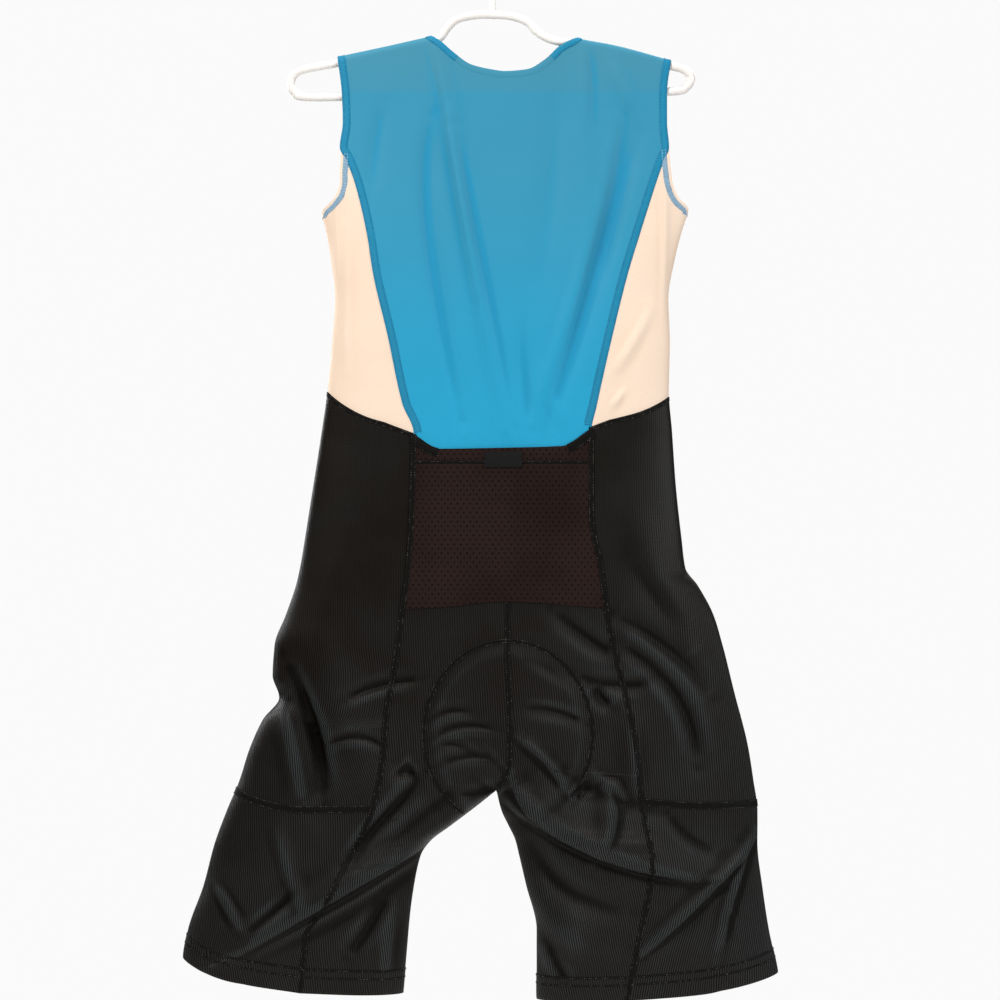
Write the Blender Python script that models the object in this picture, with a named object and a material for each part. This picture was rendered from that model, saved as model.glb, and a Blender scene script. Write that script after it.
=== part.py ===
"""Sleeveless cycling skinsuit on a white tubular hanger, seen from behind: its back faces -Y.

The cloth is a set of thin walls on one hanging form. That form comes from the
garment's outline, its depth and its folds, which the tables below give in
millimetres. Heights are below the top inside of the hanger's hook, the origin.
Left and right are the wearer's, which are also the viewer's from behind.
"""
import math

import bmesh
import bpy
import numpy as np

MM = 0.001
WALL = 1.2
SEAM_GAP = 0.3
QUARTER = math.pi / 2
BACK, FRONT = -1, 1

# The hanger: a round plastic tube bent to a closed loop, with a hook on top
TUBE = 8.5
HOOK_ROD = 7.0
HOOK_INSIDE = 36.0
HOOK_END_TURN = math.radians(205)
HOOK_START_TURN = math.radians(-52)
ARM_CLEARANCE = 0.65
OVER_ARM = TUBE / 2 + ARM_CLEARANCE + WALL

# How far in from a fold the cloth is still rounding
SIDE_REACH = 64.0
FORK_REACH = 58.0

# The front zip, on the garment's own middle
ZIP_X, ZIP_WIDTH, ZIP_WALL, ZIP_COIL = 13.0, 8.0, 1.6, 0.9
ZIP_GAP = ZIP_WIDTH / 2

CROTCH_X, CROTCH_Z = 3.6, -879.0
CROTCH_PARTING, CROTCH_NEAR = 0.15, 12.0
PAD_X, PAD_Z = 16.0, -819.0
PAD_HALF_WIDTH, PAD_HALF_LENGTH = 86.0, 95.0
PAD_RELIEF, PAD_EDGE = 2.4, 0.16

# height, left fold, right fold, half depth; the top rows lie outside the armholes
SECTIONS = (
    (-100, -270, 290, 6.1),
    (-170, -250, 268, 6.2),
    (-230, -212, 232, 8.5),
    (-288, -175, 200, 12.0),
    (-334, -166, 187, 14.0),
    (-375, -162, 181, 15.0),
    (-421, -165, 182, 16.0),
    (-467, -169, 181, 16.5),
    (-513, -176, 185, 17.0),
    (-560, -183, 188, 18.0),
    (-621, -193, 194, 19.0),
    (-650, -198, 198, 20.0),
    (-668, -202, 211, 20.5),
    (-698, -212, 227, 21.0),
    (-729, -224, 236, 22.0),
    (-760, -226, 244, 22.0),
    (-783, -219, 250, 22.0),
    (-806, -236, 256, 22.0),
    (-837, -250, 263, 22.0),
    (-868, -260, 268, 22.0),
    (-899, -273, 272, 22.0),
    (-929, -284, 272, 22.0),
    (-976, -297, 277, 23.0),
    (-1022, -313, 284, 24.0),
    (-1050, -318, 290, 24.5),
    (-1095, -321, 299, 25.0),
)

# height, across: the seam down the middle of the seat to the crotch
CENTRE_SEAM = (
    (-500, ZIP_X),
    (-520, ZIP_X),
    (-684, 16),
    (-728, 15),
    (-803, 18),
    (-848, 17),
    (-866, 11),
    (CROTCH_Z, CROTCH_X),
)

# height, left leg, right leg: each leg's inner fold
INNER_FOLDS = (
    (CROTCH_Z, CROTCH_X - 0.2, CROTCH_X + 0.2),
    (-899, -22, 9),
    (-914, -42, 16),
    (-929, -62, 23),
    (-945, -73, 27),
    (-976, -80, 34),
    (-1022, -86, 45),
    (-1095, -92, 45),
)

# height, back left, back right, front left, front right: armhole edge, princess seam, side seam
LONG_SEAMS = (
    (-120, -160, 185, -160, 185),
    (-164, -154.5, 179, -154, 178.5),
    (-193, -153.5, 179, -152.5, 178),
    (-219, -156.5, 181, -155, 179.5),
    (-233, -149.5, 175.5, -148, 174),
    (-259, -140, 166.5, -143, 168.5),
    (-311, -128, 150, -133, 155),
    (-347, -122.5, 139, -127, 144),
    (-413, -107, 122.5, -112, 127),
    (-482, -92, 107, -97, 112),
    (-512, -80.5, 101, -88, 106),
    (-594, -82.5, 101, -88, 106),
    (-651, -86, 111, -92, 114),
    (-699, -93, 117.5, -98, 122),
    (-752, -100, 129, -106, 132),
    (-797, -108, 140, -113, 143),
    (-843, -112, 148.5, -120, 150),
    (-893, -121.5, 152.5, -128, 155),
    (-953, -150, 163, -146, 160),
    (-990, -168, 157.5, -160, 158),
    (-1027, -190, 150, -172, 154),
    (-1095, -197, 136, -178, 150),
)

# across, height: the line over which the cloth turns on the hanger's arms
SHOULDER_LINE = (
    (-230, -141),
    (-160, -125.3),
    (-99, -111.9),
    (-63, -103.9),
    (-40, -98),
    (65, -98),
    (87, -105.3),
    (120, -112.0),
    (169, -124.3),
    (184, -128.4),
    (250, -146),
)

# across, back height, front height, from the left neck point to the right one
NECKLINE = (
    (-63, -103.9, -103.9),
    (-54, -109, -114),
    (-40, -121, -134),
    (-22, -133.5, -155),
    (-2, -138.5, -170),
    (13, -140.5, -174),
    (36, -138.5, -164),
    (54, -128.5, -144),
    (70, -114, -122),
    (87, -105.3, -105.3),
)

# Where the back panel's foot meets the seat behind the pocket, and the middle of the front waist seam
TUCK = -548.0
CENTRE_WAIST = -510.0

# share of the way from the back seam round to the front seam, left height, right height
ARMPIT_LINE = (
    (0, -224, -220), (0.12, -243, -240), (0.25, -261, -258), (0.37, -274, -272), (0.5, -288, -285),
    (0.63, -274, -272), (0.75, -261, -258), (0.88, -243, -240), (1, -224, -220),
)
WAIST_LINE = ((0, -512, -505), (0.2, -498, -493), (0.5, -469, -474), (0.8, -492, -490), (1, -505, -502))
LEG_LINE = ((0, -895, -888), (0.25, -896, -892), (0.5, -878, -891), (0.75, -890, -894), (1, -897, -895))
OUTER_HEM = (
    (0, -1083, -1091), (0.25, -1073, -1084), (0.5, -1050, -1065), (0.75, -1066, -1080), (1, -1079, -1087),
)
# share of the way round, how much of the way out to the seam the armhole's edge still is
ARMPIT_BEND = (
    (0, 1), (0.12, 0.85), (0.25, 0.69), (0.37, 0.48), (0.5, 0), (0.63, 0.55), (0.75, 0.75), (0.88, 0.89), (1, 1),
)
# share of the way from the side seam in to the inner fold, left height, right height
INNER_HEM = ((0, -1083, -1091), (0.5, -1085, -1092), (1, -1086, -1092))
FRONT_INNER_HEM = ((0, -1079, -1087), (0.5, -1082, -1089), (1, -1086, -1092))

# across, height: the middle of the hanger's tube, clockwise from the top of its arch
HANGER_LOOP = (
    (0, -82), (20, -83.5), (36, -89.5), (45, -99), (56, -105.8), (68, -109.4), (87, -112.4), (120, -118.4),
    (169, -130.6), (184, -134.7), (197, -138.6), (204, -147), (199, -156.5), (186, -160.6), (120, -161.6),
    (0, -163.6), (-120, -165.4), (-190, -166.5), (-203, -161.5), (-207, -151.5), (-202, -142), (-190, -137.3),
    (-160, -131.6), (-99, -118.3), (-72, -112.9), (-62, -110.9), (-53, -104.8), (-46, -95), (-36, -86.5),
    (-18, -82.4),
)
HOOK_STEM = ((0, -82), (0, -70), (0.3, -60), (3.2, -50), (8, -41))

# The pocket, over the seat between the side seams, and its blank woven label
POCKET_WALL, POCKET_SAG = 1.0, 1.6
POCKET_MOUTH_LINE = ((0, -514), (0.14, -528), (0.5, -527), (0.84, -525), (1, -508))
POCKET_FOOT_LINE = ((0, -692), (0.2, -689.5), (0.5, -684), (0.8, -687.5), (1, -691))
LABEL_LEFT, LABEL_RIGHT, LABEL_TOP, LABEL_FOOT, LABEL_WALL = -7.7, 30.3, -531.0, -547.0, 0.6

# The slider and its pull tab, at the top of the front zip
SLIDER_WIDTH, SLIDER_LENGTH, SLIDER_WALL = 9.0, 12.0, 2.2
POST_WALL, POST_LENGTH, BAR_RADIUS, BAR_LIFT = 1.0, 3.0, 0.8, 2.7
EYE_OUTER, EYE_INNER, EYE_WIDTH = 1.9, 1.15, 3.6
TAB_WIDTH, TAB_LENGTH, TAB_WALL, NECK_LENGTH = 7.0, 28.0, 1.5, 7.0

# Rows and columns of the walls' grids
ROUND_COLUMNS, LEG_COLUMNS = 12, 8
SHOULDER_COLUMNS, NECK_COLUMNS = 3, 10
ARMHOLE_ROWS, PRINCESS_ROWS, TUCK_ROWS, SEAT_ROWS, SHIN_ROWS = 5, 12, 2, 16, 10
ROWS_CROWD_ABOVE, ROWS_CROWD_BELOW = 1.4, 1.25

# start x, z, bend x, z, end x, z, height, width on its upper or right side, width on the other
BACK_FOLDS = (
    (-52, -120, -42, -240, 8, -505, 1.8, 16, 10),
    (-56, -170, -56, -330, -34, -495, -1.6, 12, 12),
    (100, -120, 110, -300, 52, -508, 1.8, 10, 18),
    (136, -200, 112, -270, 88, -400, -1.5, 14, 10),
    (-216, -783, -180, -800, -176, -900, -6.0, 13, 13),
    (-196, -700, -150, -790, -128, -850, 3.0, 24, 16),
    (-34, -906, -110, -985, -262, -1046, 7.5, 44, 9),
    (-70, -860, -150, -930, -285, -985, 4.0, 26, 20),
    (-30, -868, -80, -915, -150, -960, -3.5, 9, 14),
    (118, -560, 180, -660, 222, -800, 3.6, 22, 20),
    (112, -640, 160, -740, 236, -850, 3.0, 20, 16),
    (20, -862, 90, -940, 212, -967, 6.5, 34, 9),
    (60, -850, 110, -890, 200, -905, -3.8, 12, 12),
    (214, -962, 190, -1000, 150, -1050, 4.5, 16, 22),
    (262, -930, 230, -965, 214, -1050, 3.0, 16, 14),
    (-110, -990, -120, -1030, -112, -1075, 3.0, 16, 16),
    (80, -985, 84, -1030, 76, -1080, 3.2, 18, 16),
    (-150, -590, -170, -680, -196, -745, 2.4, 20, 16),
)
FRONT_FOLDS = (
    (-60, -150, -48, -260, -20, -480, 1.8, 16, 12),
    (92, -150, 96, -300, 48, -480, 1.8, 12, 18),
    (-90, -560, -140, -650, -190, -800, 3.4, 22, 18),
    (108, -570, 160, -680, 214, -820, 3.4, 20, 20),
    (-18, -890, -110, -945, -250, -960, 5.5, 34, 12),
    (24, -890, 110, -945, 236, -975, 5.5, 32, 12),
    (-60, -800, -130, -860, -230, -880, -3.4, 14, 16),
    (70, -800, 140, -850, 240, -870, -3.4, 14, 16),
    (-140, -970, -160, -1020, -150, -1070, 3.2, 18, 18),
    (130, -980, 150, -1020, 140, -1075, 3.2, 18, 18),
)


def smooth(rows, column):
    """One column of a table as a curve over its first column, with no overshoot between its rows."""
    rows = sorted(rows)
    knots = np.array([row[0] for row in rows], float)
    values = np.array([row[column] for row in rows], float)
    run = np.diff(knots)
    slope = np.diff(values) / run
    before, after = slope[:-1], slope[1:]
    level = before * after <= 0
    both = np.where(level, 1.0, before + after)
    tangent = np.concatenate(([slope[0]], np.where(level, 0.0, 2 * before * after / both), [slope[-1]]))

    def curve(at):
        at = np.clip(at, knots[0], knots[-1])
        row = np.clip(np.searchsorted(knots, at, side="right") - 1, 0, len(run) - 1)
        t = (at - knots[row]) / run[row]
        ends = (1 + 2 * t) * (1 - t) ** 2 * values[row] + t * t * (3 - 2 * t) * values[row + 1]
        leans = t * (1 - t) ** 2 * tangent[row] + t * t * (t - 1) * tangent[row + 1]
        return ends + leans * run[row]

    return curve


left_fold, right_fold, half_depth = (smooth(SECTIONS, column) for column in (1, 2, 3))
centre_seam = smooth(CENTRE_SEAM, 1)
inner_left, inner_right = (smooth(INNER_FOLDS, column) for column in (1, 2))
seam_back_left, seam_back_right, seam_front_left, seam_front_right = (
    smooth(LONG_SEAMS, column) for column in (1, 2, 3, 4)
)
shoulder_line = smooth(SHOULDER_LINE, 1)
neck_back, neck_front = (smooth(NECKLINE, column) for column in (1, 2))


def rounded(distance, reach):
    """Share of the squared half depth at this distance from a fold: none on it, all past its reach."""
    return 1 - (1 - np.minimum(distance / reach, 1.0)) ** 2


def fullness(x, z):
    """Squared share of the half depth that the cloth has here, from its distance to every fold."""
    share = rounded(x - left_fold(z), SIDE_REACH) * rounded(right_fold(z) - x, SIDE_REACH)
    share = share * rounded(shoulder_line(x) - z, OVER_ARM)
    between = (inner_left(z) + inner_right(z)) / 2
    leg = np.where(x < between, inner_left(z) - x, x - inner_right(z))
    fork = np.where(z < CROTCH_Z, leg, np.hypot(x - CROTCH_X, z - CROTCH_Z))
    return share * rounded(fork, FORK_REACH)


def fold_height(x, z, folds):
    """Soft ridges and troughs along their own curves, uneven on their two sides."""
    total = np.zeros(np.shape(x))
    steps = np.linspace(0, 1, 15)
    for x0, z0, x1, z1, x2, z2, height, upper, lower in folds:
        path_x = (1 - steps) ** 2 * x0 + 2 * steps * (1 - steps) * x1 + steps ** 2 * x2
        path_z = (1 - steps) ** 2 * z0 + 2 * steps * (1 - steps) * z1 + steps ** 2 * z2
        step_x, step_z = np.diff(path_x), np.diff(path_z)
        length = np.hypot(step_x, step_z)
        off_x, off_z = x[..., None] - path_x[:-1], z[..., None] - path_z[:-1]
        along = np.clip((off_x * step_x + off_z * step_z) / length ** 2, 0, 1)
        near_x, near_z = off_x - along * step_x, off_z - along * step_z
        away = np.hypot(near_x, near_z)
        nearest = np.argmin(away, axis=-1)[..., None]
        away = np.take_along_axis(away, nearest, -1)[..., 0]
        turn = np.take_along_axis(step_z * near_x - step_x * near_z, nearest, -1)[..., 0]
        place = (nearest[..., 0] + np.take_along_axis(along, nearest, -1)[..., 0]) / len(step_x)
        facing = 1 if x2 + z0 >= x0 + z2 else -1
        width = np.where(turn * facing < 0, upper, lower)
        fade = np.sin(math.pi * np.clip(place, 0.04, 0.96)) ** 0.7
        total = total + height * fade * np.exp(-(away / width) ** 2)
    return total


def pad_height(x, z):
    """The seat pad's low relief inside its stitched outline."""
    out = np.hypot((x - PAD_X) / PAD_HALF_WIDTH, (z - PAD_Z) / PAD_HALF_LENGTH)
    inside = np.clip((1 - out) / PAD_EDGE, 0, 1)
    return PAD_RELIEF * inside * inside * (3 - 2 * inside)


def relief(x, z, side):
    back = fold_height(x, z, BACK_FOLDS) + pad_height(x, z)
    return np.where(side == BACK, back, fold_height(x, z, FRONT_FOLDS))


def depth(x, z, side):
    share = fullness(x, z)
    return half_depth(z) * np.sqrt(np.maximum(share, 0)) + relief(x, z, side) * np.clip(share, 0, 1)


def outside(x, y, z, side):
    """Zero on the cloth's outer face, more outside it."""
    share = fullness(x, z)
    bare = y * side - relief(x, z, side) * np.clip(share, 0, 1)
    return (bare / half_depth(z)) ** 2 - share


def face_of(x, z, side):
    """Points of the outer face and the directions that point straight out of it."""
    parted = CROTCH_PARTING * np.exp(-((x - CROTCH_X) ** 2 + (z - CROTCH_Z) ** 2) / CROTCH_NEAR ** 2)
    y = side * (depth(x, z, side) + parted)
    step = 0.05
    out = np.stack(
        (
            outside(x + step, y, z, side) - outside(x - step, y, z, side),
            outside(x, y + step, z, side) - outside(x, y - step, z, side),
            outside(x, y, z + step, side) - outside(x, y, z - step, side),
        ),
        axis=-1,
    )
    return np.stack((x, y, z), axis=-1), out / np.linalg.norm(out, axis=-1, keepdims=True)


def blend_edges(top, bottom, left, right):
    """A grid of flat places between four edges, each a row of (across, height)."""
    across = [(edge[:, 0] - edge[0, 0]) / (edge[-1, 0] - edge[0, 0]) for edge in (top, bottom)]
    down = [(edge[:, 1] - edge[0, 1]) / (edge[-1, 1] - edge[0, 1]) for edge in (left, right)]
    u = ((across[0] + across[1]) / 2)[None, :, None]
    v = ((down[0] + down[1]) / 2)[:, None, None]
    corners = (1 - v) * ((1 - u) * top[0] + u * top[-1]) + v * ((1 - u) * bottom[0] + u * bottom[-1])
    return (1 - v) * top + v * bottom + (1 - u) * left[:, None] + u * right[:, None] - corners


def edge_shift(points, normals, neighbours):
    """Half the seam gap, in along the face and square to one edge of a grid."""
    along = np.gradient(points, axis=0)
    inward = np.cross(normals, along)
    inward = inward / np.linalg.norm(inward, axis=-1, keepdims=True)
    facing = np.sign(np.sum(inward * (neighbours - points), axis=-1, keepdims=True))
    return inward * facing * SEAM_GAP / 2


def cloth(name, x, z, side, finish, lift=0.0, wall=WALL, raised=0.0):
    """A closed wall of cloth whose outer face lies this far out from the hanging form."""
    points, normals = face_of(x, z, side)
    shift = np.zeros_like(points)
    for edge, inner in ((0, 1), (-1, -2)):
        shift[edge] += edge_shift(points[edge], normals[edge], points[inner])
        shift[:, edge] += edge_shift(points[:, edge], normals[:, edge], points[:, inner])
    base = points + shift
    lift, raised = (np.broadcast_to(value, x.shape)[..., None] for value in (lift, raised))
    outer = base + normals * (lift + raised)
    inner = base + normals * (lift - wall)
    rows, columns = x.shape
    count = rows * columns
    number = np.arange(count).reshape(rows, columns)
    faces = []
    for i in range(rows - 1):
        for j in range(columns - 1):
            ring = [number[i, j], number[i, j + 1], number[i + 1, j + 1], number[i + 1, j]]
            faces += [ring, [corner + count for corner in reversed(ring)]]
    rim = list(number[0]) + list(number[1:, -1]) + list(number[-1, -2::-1]) + list(number[-2:0:-1, 0])
    for here, there in zip(rim, rim[1:] + rim[:1]):
        faces.append([there, here, here + count, there + count])
    corners = np.concatenate((outer.reshape(-1, 3), inner.reshape(-1, 3))) * MM
    return add_mesh(name, corners, faces, finish)


def face_out(shape):
    """Turns a closed shape's faces outward, also where it is too small for Blender to tell."""
    bmesh.ops.recalc_face_normals(shape, faces=shape.faces)
    if shape.calc_volume(signed=True) < 0:
        bmesh.ops.reverse_faces(shape, faces=shape.faces)


def add_mesh(name, points, faces, finish):
    """A named object of one closed mesh, its faces turned outward, in the garment's collection."""
    mesh = bpy.data.meshes.new(name)
    mesh.from_pydata([tuple(point) for point in points], [], [[int(n) for n in face] for face in faces])
    tidy = bmesh.new()
    tidy.from_mesh(mesh)
    face_out(tidy)
    tidy.to_mesh(mesh)
    tidy.free()
    mesh.materials.append(finish)
    mesh.shade_smooth()
    mesh.set_sharp_from_angle(angle=math.radians(40))
    made = bpy.data.objects.new(name, mesh)
    garment.objects.link(made)
    return made


def material(name, colour, roughness, metallic=0.0):
    made = bpy.data.materials.new(name)
    made.use_nodes = True
    surface = made.node_tree.nodes["Principled BSDF"]
    surface.inputs["Base Color"].default_value = (*colour, 1)
    surface.inputs["Roughness"].default_value = roughness
    surface.inputs["Metallic"].default_value = metallic
    return made


class Half:
    """The wearer's left or right half: its outer fold, its seams and its columns in the tables."""

    def __init__(self, name, fold, inward, column, seams):
        self.name = name
        self.fold = fold
        self.inward = inward
        self.column = column
        self.seam = dict(zip((BACK, FRONT), seams))
        self.inner_fold = inner_left if inward > 0 else inner_right

    def turn(self, x, z, side):
        """The way round from the outer fold, in reaches of it, below zero on the back."""
        across = np.maximum((x - self.fold(z)) * self.inward, 0) / SIDE_REACH
        rounding = np.arccos(1 - np.minimum(across, 1)) / QUARTER
        return side * np.where(across < 1, rounding, across)

    def unturn(self, turn, z):
        reach = np.abs(turn)
        rounding = 1 - np.cos(np.minimum(reach, 1) * QUARTER)
        across = np.where(reach < 1, rounding, reach)
        return self.fold(z) + self.inward * SIDE_REACH * across, np.where(turn < 0, BACK, FRONT)

    def inner(self, z):
        """The seat's middle seam and, below the crotch, this leg's inner fold."""
        return np.where(z >= CROTCH_Z, centre_seam(z), self.inner_fold(z))

    def height(self, line, share):
        return smooth(line, self.column)(share)

    def round_edge(self, line, bend=None):
        """An edge that runs round the side, from the back seam over the fold to the front seam."""
        share = np.linspace(0, 1, ROUND_COLUMNS + 1)
        z = self.height(line, share)
        ends = [self.turn(self.seam[side](z[end]), z[end], side) for side, end in ((BACK, 0), (FRONT, -1))]
        left_over = np.abs(1 - 2 * share) if bend is None else smooth(bend, 1)(share)
        return np.stack((np.where(share < 0.5, ends[0], ends[1]) * left_over, z), axis=-1)

    def seam_turns(self, z, side):
        return np.stack((self.turn(self.seam[side](z), z, side), z), axis=-1)

    def round_panel(self, name, top, bottom, back_heights, front_heights, finish):
        """A panel that wraps the side from the back seam to the front seam."""
        edges = self.seam_turns(back_heights, BACK), self.seam_turns(front_heights, FRONT)
        grid = blend_edges(top, bottom, *edges)
        x, side = self.unturn(grid[..., 0], grid[..., 1])
        return cloth(f"{name}_{self.name}", x, grid[..., 1], side, finish)

    def leg_panel(self, name, side, outer_heights, inner_heights, top_line, hem, finish):
        """A panel from the side seam in to the centre seam and, below the crotch, the leg's inner fold."""
        outer = np.stack((self.seam[side](outer_heights), outer_heights), axis=-1)
        inner = np.stack((self.inner(inner_heights), inner_heights), axis=-1)
        share = np.sin(np.linspace(0, QUARTER, LEG_COLUMNS + 1))
        foot_x = outer[-1, 0] + (inner[-1, 0] - outer[-1, 0]) * share
        foot = np.stack((foot_x, self.height(hem, share)), axis=-1)
        grid = blend_edges(top_line(self, side), foot, outer, inner)
        return cloth(f"{name}_{self.name}", grid[..., 0], grid[..., 1], side, finish)




def heights(first, last, count, crowd=1.0, at_end=False):
    """Heights from one end of a seam to the other, closer together at one end where crowd is over 1."""
    share = np.linspace(0, 1, count + 1)
    share = 1 - (1 - share) ** crowd if at_end else share ** crowd
    return first + (last - first) * share


def joined(*runs):
    return np.concatenate([runs[0]] + [run[1:] for run in runs[1:]])


def tip_heights(half, side):
    """From the shoulder tip over the roll of the hanger's arm and down to the princess seam's top."""
    tip_x = half.seam[side](-125.0)
    tip = float(shoulder_line(tip_x))
    roll = tip - OVER_ARM * (1 - np.cos(np.array((0, QUARTER / 2, QUARTER))))
    return joined(roll, heights(roll[-1], half.princess_top[side], ARMHOLE_ROWS))


def shoulder_edge(half, side):
    """The shoulder line from its tip in to the neck point."""
    tip_x = float(half.seam[side](-125.0))
    x = np.linspace(tip_x, half.neck_x, SHOULDER_COLUMNS + 1)
    return np.stack((x, shoulder_line(x)), axis=-1)


def waist_edge(half, side, to=ZIP_X):
    """The front waist seam from the side seam in to here, level once it is under the zip."""
    start, level = float(half.seam[side](half.waist[side])), ZIP_X - half.inward * ZIP_GAP
    x = start + (to - start) * np.sin(np.linspace(0, QUARTER, LEG_COLUMNS + 1))
    share = np.minimum((x - start) / (level - start), 1)
    return np.stack((x, half.waist[side] + (CENTRE_WAIST - half.waist[side]) * share), axis=-1)


def tuck_edge(half, side):
    """Where the back panel's foot meets the seat, behind the pocket."""
    start, end = float(half.seam[side](TUCK)), float(half.inner(TUCK))
    share = np.sin(np.linspace(0, QUARTER, LEG_COLUMNS + 1))
    return np.stack((start + (end - start) * share, np.full(LEG_COLUMNS + 1, TUCK)), axis=-1)


LEFT = Half("left", left_fold, 1, 1, (seam_back_left, seam_front_left))
RIGHT = Half("right", right_fold, -1, 2, (seam_back_right, seam_front_right))
for half, neck_x in ((LEFT, NECKLINE[0][0]), (RIGHT, NECKLINE[-1][0])):
    half.neck_x = neck_x
    half.princess_top = {BACK: ARMPIT_LINE[0][half.column], FRONT: ARMPIT_LINE[-1][half.column]}
    half.waist = {BACK: WAIST_LINE[0][half.column], FRONT: WAIST_LINE[-1][half.column]}
    half.leg_seam = {BACK: LEG_LINE[0][half.column], FRONT: LEG_LINE[-1][half.column]}
    half.hem = {BACK: OUTER_HEM[0][half.column], FRONT: OUTER_HEM[-1][half.column]}


def princess_heights(half, side):
    return heights(half.princess_top[side], half.waist[side], PRINCESS_ROWS)


def seat_heights(half, side):
    """Down the side seam from the waist, past the back panel's foot, to the seam round the leg."""
    upper = heights(half.waist[side], TUCK, TUCK_ROWS)
    return joined(upper, heights(TUCK, half.leg_seam[side], SEAT_ROWS, ROWS_CROWD_ABOVE, True))


def shin_heights(half, side):
    return heights(half.leg_seam[side], half.hem[side], SHIN_ROWS, ROWS_CROWD_BELOW)


def inner_heights(half, start, rows, hem):
    above = heights(start, CROTCH_Z, rows, ROWS_CROWD_ABOVE, True)
    return joined(above, heights(CROTCH_Z, hem[-1][half.column], SHIN_ROWS, ROWS_CROWD_BELOW))


def pocket():
    across = np.linspace(0, 1, 9)
    edges = []
    for line in (POCKET_MOUTH_LINE, POCKET_FOOT_LINE):
        z = smooth(line, 1)(across)
        ends = seam_back_left(z[0]), seam_back_right(z[-1])
        edges.append(np.stack((ends[0] + (ends[1] - ends[0]) * across, z), axis=-1))
    sides = []
    for seam, end in ((seam_back_left, 0), (seam_back_right, -1)):
        z = heights(edges[0][end, 1], edges[1][end, 1], 8)
        sides.append(np.stack((seam(z), z), axis=-1))
    grid = blend_edges(*edges, *sides)
    down = np.linspace(0, 1, 9)[:, None]
    sag = POCKET_SAG * (1 - down) ** 2 * np.sin(math.pi * across) ** 2
    lift = SEAM_GAP + POCKET_WALL + sag
    return cloth("pocket", grid[..., 0], grid[..., 1], BACK, mesh_knit, lift, POCKET_WALL)


def label():
    x, z = np.meshgrid(np.linspace(LABEL_LEFT, LABEL_RIGHT, 5), np.linspace(LABEL_TOP, LABEL_FOOT, 3))
    on_pocket = SEAM_GAP + POCKET_WALL + POCKET_SAG
    return cloth("label", x, z, BACK, woven_label, on_pocket + SEAM_GAP + LABEL_WALL, LABEL_WALL)


def front_panel(half):
    zip_edge = ZIP_X - half.inward * ZIP_GAP
    share = 1 - np.cos(np.linspace(0, QUARTER, NECK_COLUMNS // 2 + 1))
    x = half.neck_x + (zip_edge - half.neck_x) * share
    top = joined(shoulder_edge(half, FRONT), np.stack((x, neck_front(x)), axis=-1))
    outer_z = joined(tip_heights(half, FRONT), princess_heights(half, FRONT))
    outer = np.stack((half.seam[FRONT](outer_z), outer_z), axis=-1)
    zip_z = zip_heights(outer_z)
    inner = np.stack((np.full(len(zip_z), zip_edge), zip_z), axis=-1)
    grid = blend_edges(top, waist_edge(half, FRONT, zip_edge), outer, inner)
    return cloth(f"front_panel_{half.name}", grid[..., 0], grid[..., 1], FRONT, blue_knit)


def zip_heights(outer_z):
    """The zip's rows, spaced as the front panels' outer rows are."""
    top = float(neck_front(ZIP_X))
    share = (outer_z - outer_z[0]) / (outer_z[-1] - outer_z[0])
    return top + (CENTRE_WAIST - top) * share


def zip_chain():
    z = zip_heights(joined(tip_heights(LEFT, FRONT), princess_heights(LEFT, FRONT)))
    across = np.linspace(-ZIP_GAP, ZIP_GAP, 5)
    raised = ZIP_COIL * np.array((0, 1, 1, 1, 0))[None, :] * np.ones((len(z), 1))
    x, z = np.meshgrid(ZIP_X + across, z)
    return cloth("zip", x, z, FRONT, zip_coil, 0.0, ZIP_WALL, raised)


def back_panel():
    shoulders = [shoulder_edge(half, BACK) for half in (LEFT, RIGHT)]
    share = (1 - np.cos(np.linspace(0, math.pi, NECK_COLUMNS + 1))) / 2
    x = LEFT.neck_x + (RIGHT.neck_x - LEFT.neck_x) * share
    top = joined(shoulders[0], np.stack((x, neck_back(x)), axis=-1), shoulders[1][::-1])
    sides = []
    for half in (LEFT, RIGHT):
        tail = heights(half.waist[BACK], TUCK, TUCK_ROWS)
        z = joined(tip_heights(half, BACK), princess_heights(half, BACK), tail)
        sides.append(np.stack((half.seam[BACK](z), z), axis=-1))
    foot = joined(tuck_edge(LEFT, BACK), tuck_edge(RIGHT, BACK)[::-1])
    grid = blend_edges(top, foot, *sides)
    return cloth("back_panel", grid[..., 0], grid[..., 1], BACK, blue_knit)


def side_pieces(half):
    """The cream side, the ribbed hip below it and the lower leg, each wrapped round the side."""
    armpit = half.round_edge(ARMPIT_LINE, ARMPIT_BEND)
    waist, leg, hem = (half.round_edge(line) for line in (WAIST_LINE, LEG_LINE, OUTER_HEM))
    for name, top, bottom, rows, finish in (
        ("side_panel", armpit, waist, princess_heights, cream_knit),
        ("hip_panel", waist, leg, seat_heights, ribbed_knit),
        ("lower_leg", leg, hem, shin_heights, ribbed_knit),
    ):
        half.round_panel(name, top, bottom, rows(half, BACK), rows(half, FRONT), finish)


def seat_pieces(half):
    """The seat at the back and the shorts' front, each from the side seam in to the inner leg."""
    shin = shin_heights(half, BACK)
    seat_outer = joined(seat_heights(half, BACK)[TUCK_ROWS:], shin)
    seat_inner = inner_heights(half, TUCK, SEAT_ROWS, INNER_HEM)
    half.leg_panel("seat", BACK, seat_outer, seat_inner, tuck_edge, INNER_HEM, black_knit)
    front_outer = joined(seat_heights(half, FRONT), shin_heights(half, FRONT))
    front_inner = inner_heights(half, CENTRE_WAIST, SEAT_ROWS + TUCK_ROWS, FRONT_INNER_HEM)
    half.leg_panel("shorts_front", FRONT, front_outer, front_inner, waist_edge, FRONT_INNER_HEM, black_knit)


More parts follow.
